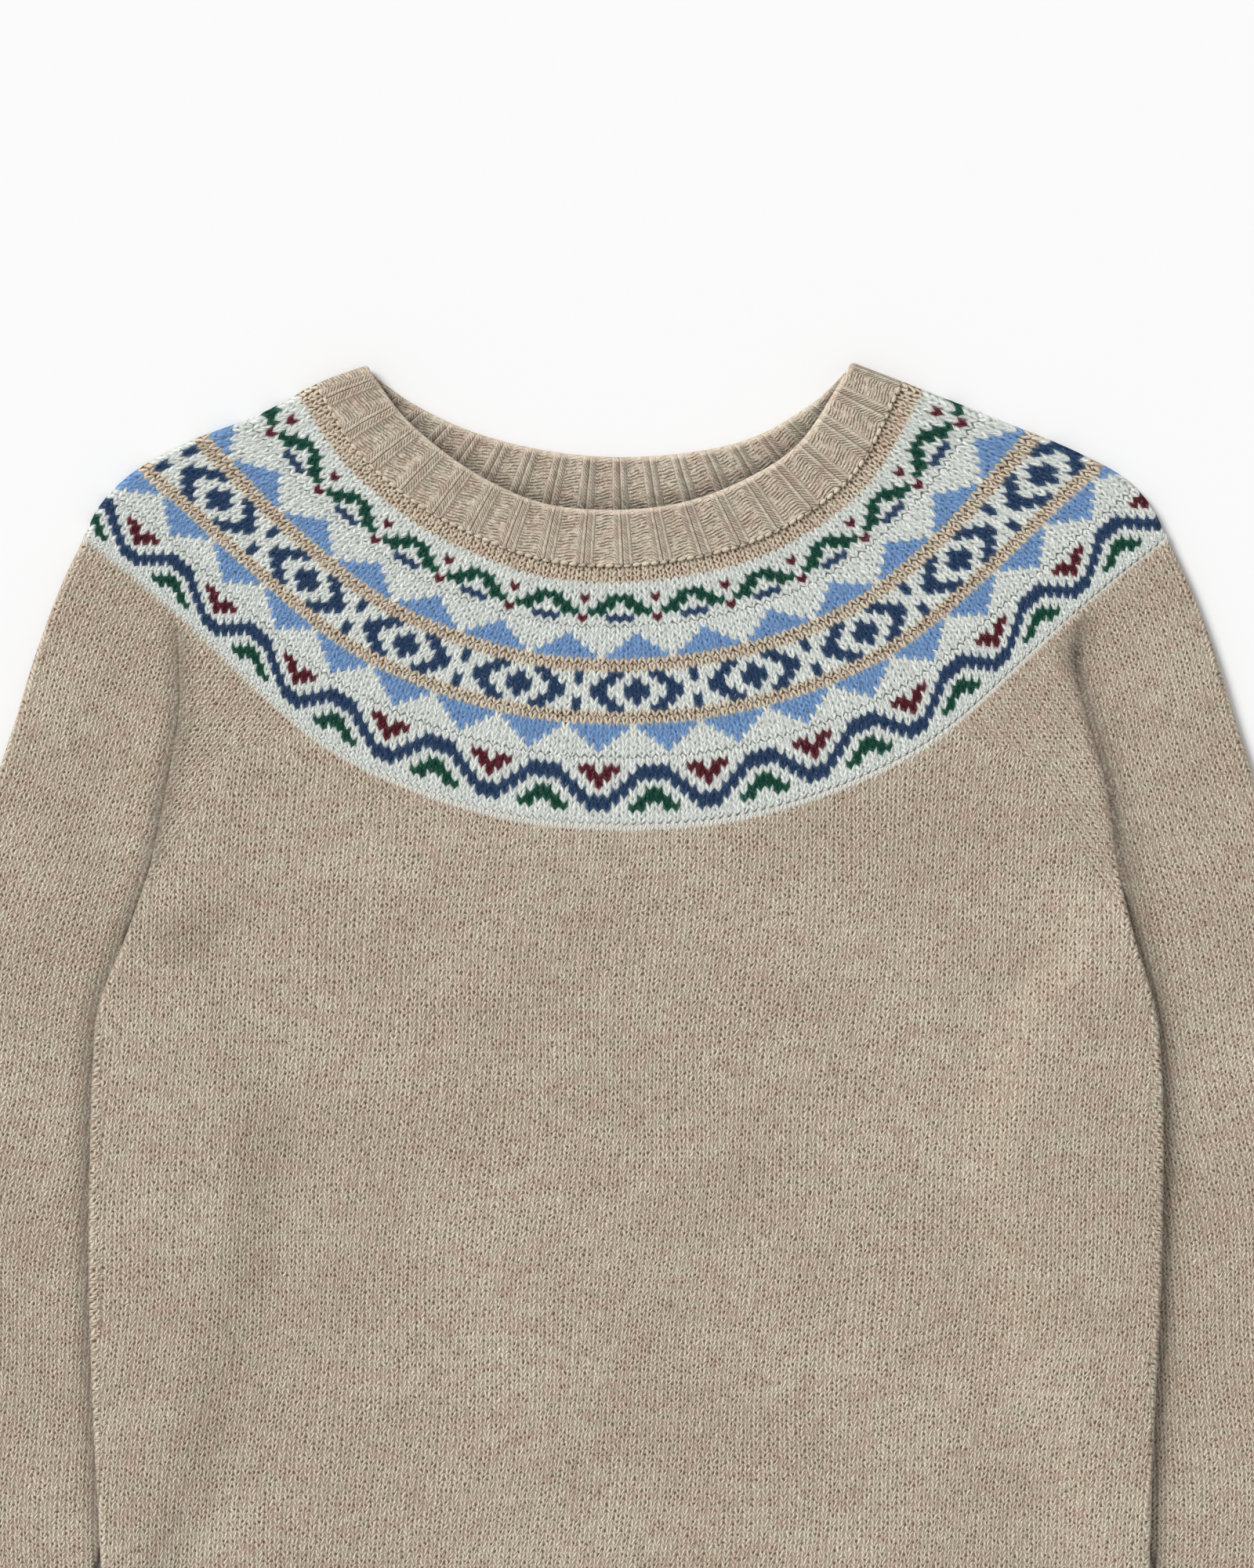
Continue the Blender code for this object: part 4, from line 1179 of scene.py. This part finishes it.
def band_grid(ring, lengths, band):
    """The ring at four places to each stitch of a band, and the wale of each place."""
    count, width, x, share, _ = band
    _, _, right, left = lengths[int(share * (len(ring) - 1))]
    start, right, left = -x / width, right / width, left / width
    crowding = YOKE_CROWDING.get(count, 0.0)
    wales = math.ceil(start - left * (1 + crowding)) - 0.5 + np.arange(4 * count + 1) / 4
    out = CROWDING_POINTS
    crowded = out + crowding * out**2
    first = start - left * crowded[::-1]
    last = start + right * crowded[1:]
    knots = np.concatenate([[last[-1] - count], first, last, [first[0] + count]])
    rows = []
    for row, (along, middle, right, left) in zip(ring, lengths):
        total = along[-1]
        places = np.concatenate([[right - total], -left * out[::-1], right * out[1:], [total - left]])
        at = (np.interp(wales, knots, places) + middle) % total
        rows.append(np.stack([np.interp(at, along, axis) for axis in row.T], axis=1))
    return np.array(rows), wales


def down_ring(grid, places):
    """Places down the columns of a grid; each row of places holds a fractional row for each column."""
    first = np.clip(np.floor(places).astype(int), 0, len(grid) - 2)
    share = (places - first)[..., None]
    column = np.arange(grid.shape[1])[None, :]
    return grid[first, column] * (1 - share) + grid[first + 1, column] * share


def zip_patch(upper, lower, yarn):
    """The strip of triangles between two rows with different counts: each is points and stitches."""
    counts = [len(points) for points, _ in (upper, lower)]
    along = np.concatenate([np.linspace(0, 1, count)[1:] for count in counts])
    is_upper = np.argsort(along, kind="stable") < counts[0] - 1
    picks = [np.insert(np.cumsum(chosen), 0, 0) for chosen in (is_upper, ~is_upper)]
    points = np.stack([upper[0][picks[0]], lower[0][picks[1]]])
    stitches = np.broadcast_to((0.25, 0.5), (*points.shape[:2], 2))
    return points, stitches, np.tile(yarn, (1, len(is_upper), 1))


def stitch_heights(count, steps, above, turned_under, chance):
    """How high the stitches of a band stand, each with two steps down and four places across."""
    heights = np.array([np.tile(LEG_HEIGHTS[step % 2], count) for step in range(steps)])
    heights[0] = BAND_TUCK_HEIGHT if above else 0.5
    if turned_under:
        heights[-2] = FOOT_HEIGHT + FOOT_SHARE * heights[-2]
        heights[-1] = TURNED_HEIGHT
    heights *= np.repeat(chance.uniform(*STITCH_UNEVEN, (steps, count)), 4, axis=1)
    return np.hstack([heights, heights[:, :1]])


def stitch_yarns(wales, rows, turned_under):
    """The yarn of each face of a band, from its chart."""
    numbers = np.round(wales[:-1] + 0.001).astype(int)
    yarn = [[YARNS[repeat[number % len(repeat)]] for number in numbers] for _, repeat in rows]
    return np.pad(np.repeat(yarn, 2, axis=0), ((0, turned_under), (0, 0), (0, 0)), "edge")


def band_steps(feet, centre, turned_under):
    """A band's half courses as fractional rows of the ring, and how many rows a course takes at each.

    Feet and centre are heights up the middle of the front, of the courses and of the ring's rows.
    """
    rows = np.interp(-np.array(feet), -centre, np.arange(len(centre)))
    steps = np.interp(np.arange(2 * len(rows) - 1) / 2, np.arange(len(rows)), rows)
    a_course = np.gradient(steps) * 2
    return [np.pad(values, (0, turned_under), "edge") for values in (steps, a_course)]


def inner_face(ring, outward, count, courses, top, foot):
    """The yoke's smooth inner face, and the strips that join it to the outer one at its top and foot."""
    inner = ring[::INNER_STEP] - outward[::INNER_STEP] * KNIT / 2
    inner[:, -1] = inner[:, 0]
    across = np.linspace(0, count, inner.shape[1])
    places = stitch_grid(across, -np.linspace(0, courses, len(inner))[:, None])
    cream = np.array(YARNS["w"])
    return [
        (inner[:, ::-1], places[:, ::-1], np.tile(cream, (len(inner) - 1, inner.shape[1] - 1, 1))),
        zip_patch((inner[0], places[0]), top, np.array(YARNS["o"])),
        zip_patch(foot, (inner[-1], places[-1]), cream),
    ]


def yoke():
    """The yoke, one band after the other from the neck down, each tucked under the one above."""
    ring = yoke_ring()
    outward = normals(ring, ring=True)
    faced = np.dstack([ring, outward])
    lengths = ring_lengths(ring)
    centre = np.array([np.interp(0, row[:, 0], row[:, 1]) for row in ring[:, :YOKE_FRONT_COLUMNS]])
    chance = np.random.default_rng(5)
    patches = []
    above = None
    course = 0
    last_foot = centre[0]
    for band in YOKE_BANDS:
        count, rows = band[0], band[4]
        turned_under = 0 if band is YOKE_BANDS[-1] else 1
        grid, wales = band_grid(faced, lengths, band)
        feet = [last_foot, *(foot for foot, _ in rows)]
        last_foot = feet[-1]
        steps, a_course = band_steps(feet, centre, turned_under)
        off_centre = np.abs((wales + 0.5) % 1 - 0.5) * 2
        zigzag = STITCH_SLANT * a_course[:, None] * (0.5 - off_centre)
        zigzag[0] = -BAND_TUCK * a_course[0] if above else 0.0
        if turned_under:
            zigzag[-1] = -BAND_TUCK * a_course[-1]
        stood = down_ring(grid, steps[:, None] + zigzag)
        points, facing = stood[..., :3], stood[..., 3:]
        facing = facing / np.linalg.norm(facing, axis=2)[..., None]
        heights = stitch_heights(count, len(steps), above, turned_under, chance)
        relief = STITCH_RELIEF * (heights - 0.5) * ease(*FLAT_FACING, facing[..., 2])
        outer = points + facing * (KNIT / 2 + relief)[..., None]
        outer[:, -1] = outer[:, 0]
        courses = np.tile(-(course + np.arange(len(steps)) / 2)[:, None], len(wales))
        courses[0] += STITCH_SLANT * (0.5 - off_centre) + (BAND_TUCK if above else 0.0)
        course += len(rows)
        stitches = stitch_grid(wales, courses)
        yarn = stitch_yarns(wales, rows, turned_under)
        here = outer[0], stitches[0]
        if above is None:
            top = here
        else:
            patches.append(zip_patch(above, here, yarn[0, 0]))
        patches.append((outer, stitches, yarn))
        above = outer[-1], stitches[-1]
    patches += inner_face(ring, outward, count, course, top, above)
    return knit_mesh("jumper_yoke", patches, fair_isle_wool)


# Fibres that catch the light on the dyed wools, and what painted shade leaves of a wool's colour in its holes
BRIGHT_FIBRES = (0.5, 0.51, 0.52, 1.0)
HOLE_SHADE_SHARE = (0.3, 0.3, 0.31, 1.0)


def patterned_wool():
    """The dyed wools, blurred by fibres where two meet, with painted shade in their holes and painted light
    and shade across the legs; the plain courses are the body's melange.
    """
    made, tree, shader = wool_shader("Fair isle wool", 0.0, 0.1)
    wale, course = stitch_places(tree)
    yarn, fuzz = (
        add_node(tree, "ShaderNodeAttribute", {}, attribute_name=name) for name in ("Yarn", "Fuzz")
    )
    stitch = use_group(tree, stockinette, {"Wale": wale, "Course": course, "Slant": 0.0})
    plain, fibre = oatmeal_colour(tree, wale, course, {**stitch, "Hole": stitch["Hole"] * 2.1}, 0.95, 1.0)
    hair = noise(tree, grid_place(tree, wale * 3.3, course * 2.9, 31.0), 1.0, 4.0, 0.8)
    colour = mixed(tree, remapped(tree, hair, 0.4, 0.6, 0.0, 0.95), yarn, fuzz)
    parts = tree.nodes.new("ShaderNodeSeparateColor")
    feed(tree, parts.inputs[0], colour)
    warmth = Value(tree, parts.outputs[0]) - Value(tree, parts.outputs[2])
    # Painted light and shade across the legs, and tone from the fibres
    dyed = toned(tree, colour, stitch["Tone"] * 0.3 + (fibre - 0.5) * 1.2 + 0.93)
    dyed = mixed(tree, remapped(tree, fibre, 0.56, 0.76, 0.0, 0.3), dyed, BRIGHT_FIBRES)
    # Painted shade in the holes between stitches
    dark = mixed(tree, 1.0, dyed, HOLE_SHADE_SHARE, "MULTIPLY")
    hole = (stitch["Hole"] * 0.75).math("MINIMUM", 1.0)
    dyed = mixed(tree, hole, dyed, dark)
    colour = mixed(tree, remapped(tree, warmth, 0.1, 0.2), dyed, plain)
    finish_wool(tree, shader, colour, stitch["Relief"] * 0.4 + fibre * 0.8, 0.0005)
    return made


fair_isle_wool = patterned_wool()
piece = yoke()
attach(piece, "root")
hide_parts("yoke")


# Neckband: two-by-two rib in the plain wool, twice as long as it looks, folded in half and linked to
# the neck by a chain of loops. The front half lies on the ribs that show inside the back half.

NECK_RIBS = 18
# Depth of the band, its rows, those of them on the roll along its top, and where the last one lies
NECK_SPAN = 25.4
NECK_ROWS = 30
NECK_ROLL = 6
NECK_FOOT = 0.994
# How high the ribs stand inside the back half, as a share of those outside, and how far below the top
# all of them have risen, in depths of the roll
INNER_RIB_SHARE = 0.6
RIBS_RISEN = 1.6
# How much painted shade darkens the inside just above the front's edge, and how far up that reaches
NECK_SHADE = 0.42
NECK_SHADE_REACH = 6.5
FRONT_NECK_TOP = [
    (-99, 303), (-71.3, 281.2), (-40, 266.5), (-7.6, 262.8), (25, 266), (54.7, 276.8), (80, 294),
]
BACK_NECK_TOP = [
    (-98, 312), (-71.3, 299.2), (-40, 290.8), (-7.6, 287.3), (27, 289), (58, 296), (86, 312),
]
# The links of the chain: half sizes, distance, turn in radians and height above the band's middle
CHAIN_LINK = (2.0, 1.0, 0.9)
CHAIN_PITCH = 4.14
CHAIN_TURN = 0.12
CHAIN_LIFT = 1.6


def neckband():
    """The doubled band: its section runs up the outside, over the rolled top and down the inside."""
    wales, heights = rib_columns(NECK_RIBS)
    shares = wales / wales[-1]
    roll = BAND / 2 / NECK_SPAN
    turns = np.linspace(math.pi / 2, 0, NECK_ROLL)
    rows = np.concatenate([roll * (1 - np.sin(turns)), np.linspace(roll, NECK_FOOT, NECK_ROWS)[1:]])
    face = np.concatenate([np.cos(turns), np.ones(NECK_ROWS - 1)])
    inset = (BAND_FRONT_LEVEL - BAND_BACK_LEVEL + BAND) / 2
    folds = {
        side: outer_fold(side, "tip", "foot", lambda shares: np.full(len(shares), inset))
        for side in SIDES
    }
    bottoms = [
        at_shares(smooth([folds[-1][0][-1], *foot, folds[1][0][-1]]), shares)
        for foot in (FRONT_NECK_FOOT, BACK_NECK_FOOT)
    ]
    levels = np.full(len(rows), BAND_FRONT_LEVEL), np.full(len(rows), BAND_BACK_LEVEL)
    tops = FRONT_NECK_TOP, BACK_NECK_TOP
    middle = folded_ring(tops, bottoms, folds, (shares, shares), rows, levels)
    normal = normals(middle, ring=True)
    plain, turn = np.zeros(len(heights)), np.zeros(FOLD_STEPS - 1)
    outside = np.concatenate([heights, turn, plain, turn, heights[:1]])
    inside = np.concatenate([plain, turn, heights[::-1] * INNER_RIB_SHARE, turn, plain[:1]])
    depth = ease(0, RIBS_RISEN, rows / roll)[:, None]
    outer = middle + normal * (face[:, None] * BAND / 2 + outside * depth)[..., None]
    inner = middle - normal * (face[:, None] * BAND / 2 + inside * depth)[..., None]
    section = np.vstack([outer[::-1], inner[1:], outer[-1:]])
    section[:, -1] = section[:, 0]
    down = rows * NECK_SPAN / COURSE
    courses = np.concatenate([-down[::-1], down[1:], [down[-1] + BAND / COURSE]])
    front_top = smooth([folds[-1][0][0], *FRONT_NECK_TOP, folds[1][0][0]])
    above = section[..., 1] - np.interp(section[..., 0], front_top[:, 0], front_top[:, 1])
    # Painted shade on the inside just above the front's edge
    shade = NECK_SHADE * np.exp(-((np.maximum(above, 0) / NECK_SHADE_REACH) ** 2))
    shade[:len(rows)] = 0
    across = ring_wales(wales) + np.where(courses > 0, RIB_WALES / 2, 0)[:, None]
    stitches = stitch_grid(across, courses[:, None], shade, 0.0)
    return knit_mesh("jumper_neckband", [(section[::-1], stitches[::-1])], oatmeal_rib)


def chain_wool():
    """The melange on the chain, which has no stitches of its own."""
    made, tree, shader = wool_shader("Chain wool")
    place = add_node(tree, "ShaderNodeTexCoord", {}, 3)
    fibre = noise(tree, place, 1500.0, 3.0, 0.7)
    cloud = noise(tree, place, 90.0, 2.0, 0.5)
    colour = mixed(tree, remapped(tree, cloud, 0.35, 0.65), OATMEAL, OATMEAL_DARK)
    finish_wool(tree, shader, toned(tree, colour, (fibre - 0.5) * 0.6 + 1.05), fibre, 0.0004)
    return made


def neck_chain():
    """The links that show along the foot of the neckband's front."""
    folds = [outer_fold(side, "tip", "foot", plain_inset)[0][-1] for side in SIDES]
    foot = smooth([folds[0], *FRONT_NECK_FOOT, folds[1]])
    count = int(lengths_along(foot)[-1] / CHAIN_PITCH)
    at = at_shares(foot, (np.arange(count) + 0.5) / count)
    along = np.gradient(at, axis=0)
    bpy.ops.mesh.primitive_uv_sphere_add(segments=10, ring_count=6, radius=1)
    ball = bpy.context.object
    link = np.array([vertex.co[:] for vertex in ball.data.vertices]) * CHAIN_LINK
    link_faces = sorted(list(polygon.vertices) for polygon in ball.data.polygons)
    bpy.data.objects.remove(ball)
    points = []
    faces = []
    for number, (place, step) in enumerate(zip(at, along)):
        angle = math.atan2(step[1], step[0]) + CHAIN_TURN
        cos, sin = math.cos(angle), math.sin(angle)
        turned = link[:, :2] @ np.array([[cos, sin], [-sin, cos]])
        height = link[:, 2] + BAND_FRONT_LEVEL + CHAIN_LIFT
        points.append(np.column_stack([turned + place, height]))
        faces += [[vertex + number * len(link) for vertex in face] for face in link_faces]
    mesh = bpy.data.meshes.new("jumper_neck_chain")
    mesh.from_pydata((np.vstack(points) * MM).tolist(), [], faces)
    return placed("jumper_neck_chain", mesh, chain_wool())


piece = neckband()
chain = neck_chain()
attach(piece, "root")
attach(chain, "root")
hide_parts("neckband")


# Stage: a plain pale floor, a soft light from the upper left and an even white surround, which looks
# brighter to the camera than it lights. The camera looks straight down through a long lens.

FLOOR_SIZE = 8
FLOOR_GAP = 0.0002
bpy.ops.mesh.primitive_plane_add(size=FLOOR_SIZE, location=(0, 0, -FLOOR_GAP))
floor = bpy.context.object
floor.name = "floor"
paper = bpy.data.materials.new("Pale floor")
paper.use_nodes = True
paper_shader = paper.node_tree.nodes["Principled BSDF"]
paper_shader.inputs["Base Color"].default_value = (0.79, 0.79, 0.79, 1)
paper_shader.inputs["Roughness"].default_value = 0.9
floor.data.materials.append(paper)

world = bpy.data.worlds.new("Surround")
world.use_nodes = True
nodes = world.node_tree.nodes
lit = nodes["Background"]
seen = nodes.new("ShaderNodeBackground")
for background, grey, strength in ((lit, 1.0, 0.62), (seen, 0.955, 1.0)):
    background.inputs["Color"].default_value = (grey, grey, grey, 1)
    background.inputs["Strength"].default_value = strength
either = nodes.new("ShaderNodeMixShader")
path = nodes.new("ShaderNodeLightPath")
for number, source in enumerate((path.outputs["Is Camera Ray"], lit.outputs[0], seen.outputs[0])):
    world.node_tree.links.new(source, either.inputs[number])
world.node_tree.links.new(either.outputs[0], nodes["World Output"].inputs[0])
bpy.context.scene.world = world

key = bpy.data.objects.new("key light", bpy.data.lights.new("key light", "SUN"))
key.data.angle = math.radians(24)
key.data.energy = 3.0
key.rotation_euler = (math.radians(-52), 0, math.radians(51))
bpy.context.scene.collection.objects.link(key)

# What the camera takes in, in metres, and its lens and sensor in millimetres
FRAME_HEIGHT = 0.72
FRAME_CENTRE = (0.0007, 0.1372)
LENS = 120
SENSOR = 36
camera = bpy.data.objects.new("camera", bpy.data.cameras.new("camera"))
camera.data.lens = LENS
camera.data.sensor_width = SENSOR
camera.location = (*FRAME_CENTRE, FRAME_HEIGHT * LENS / SENSOR)
bpy.context.scene.collection.objects.link(camera)
bpy.context.scene.camera = camera
bpy.context.scene.view_settings.view_transform = "Standard"
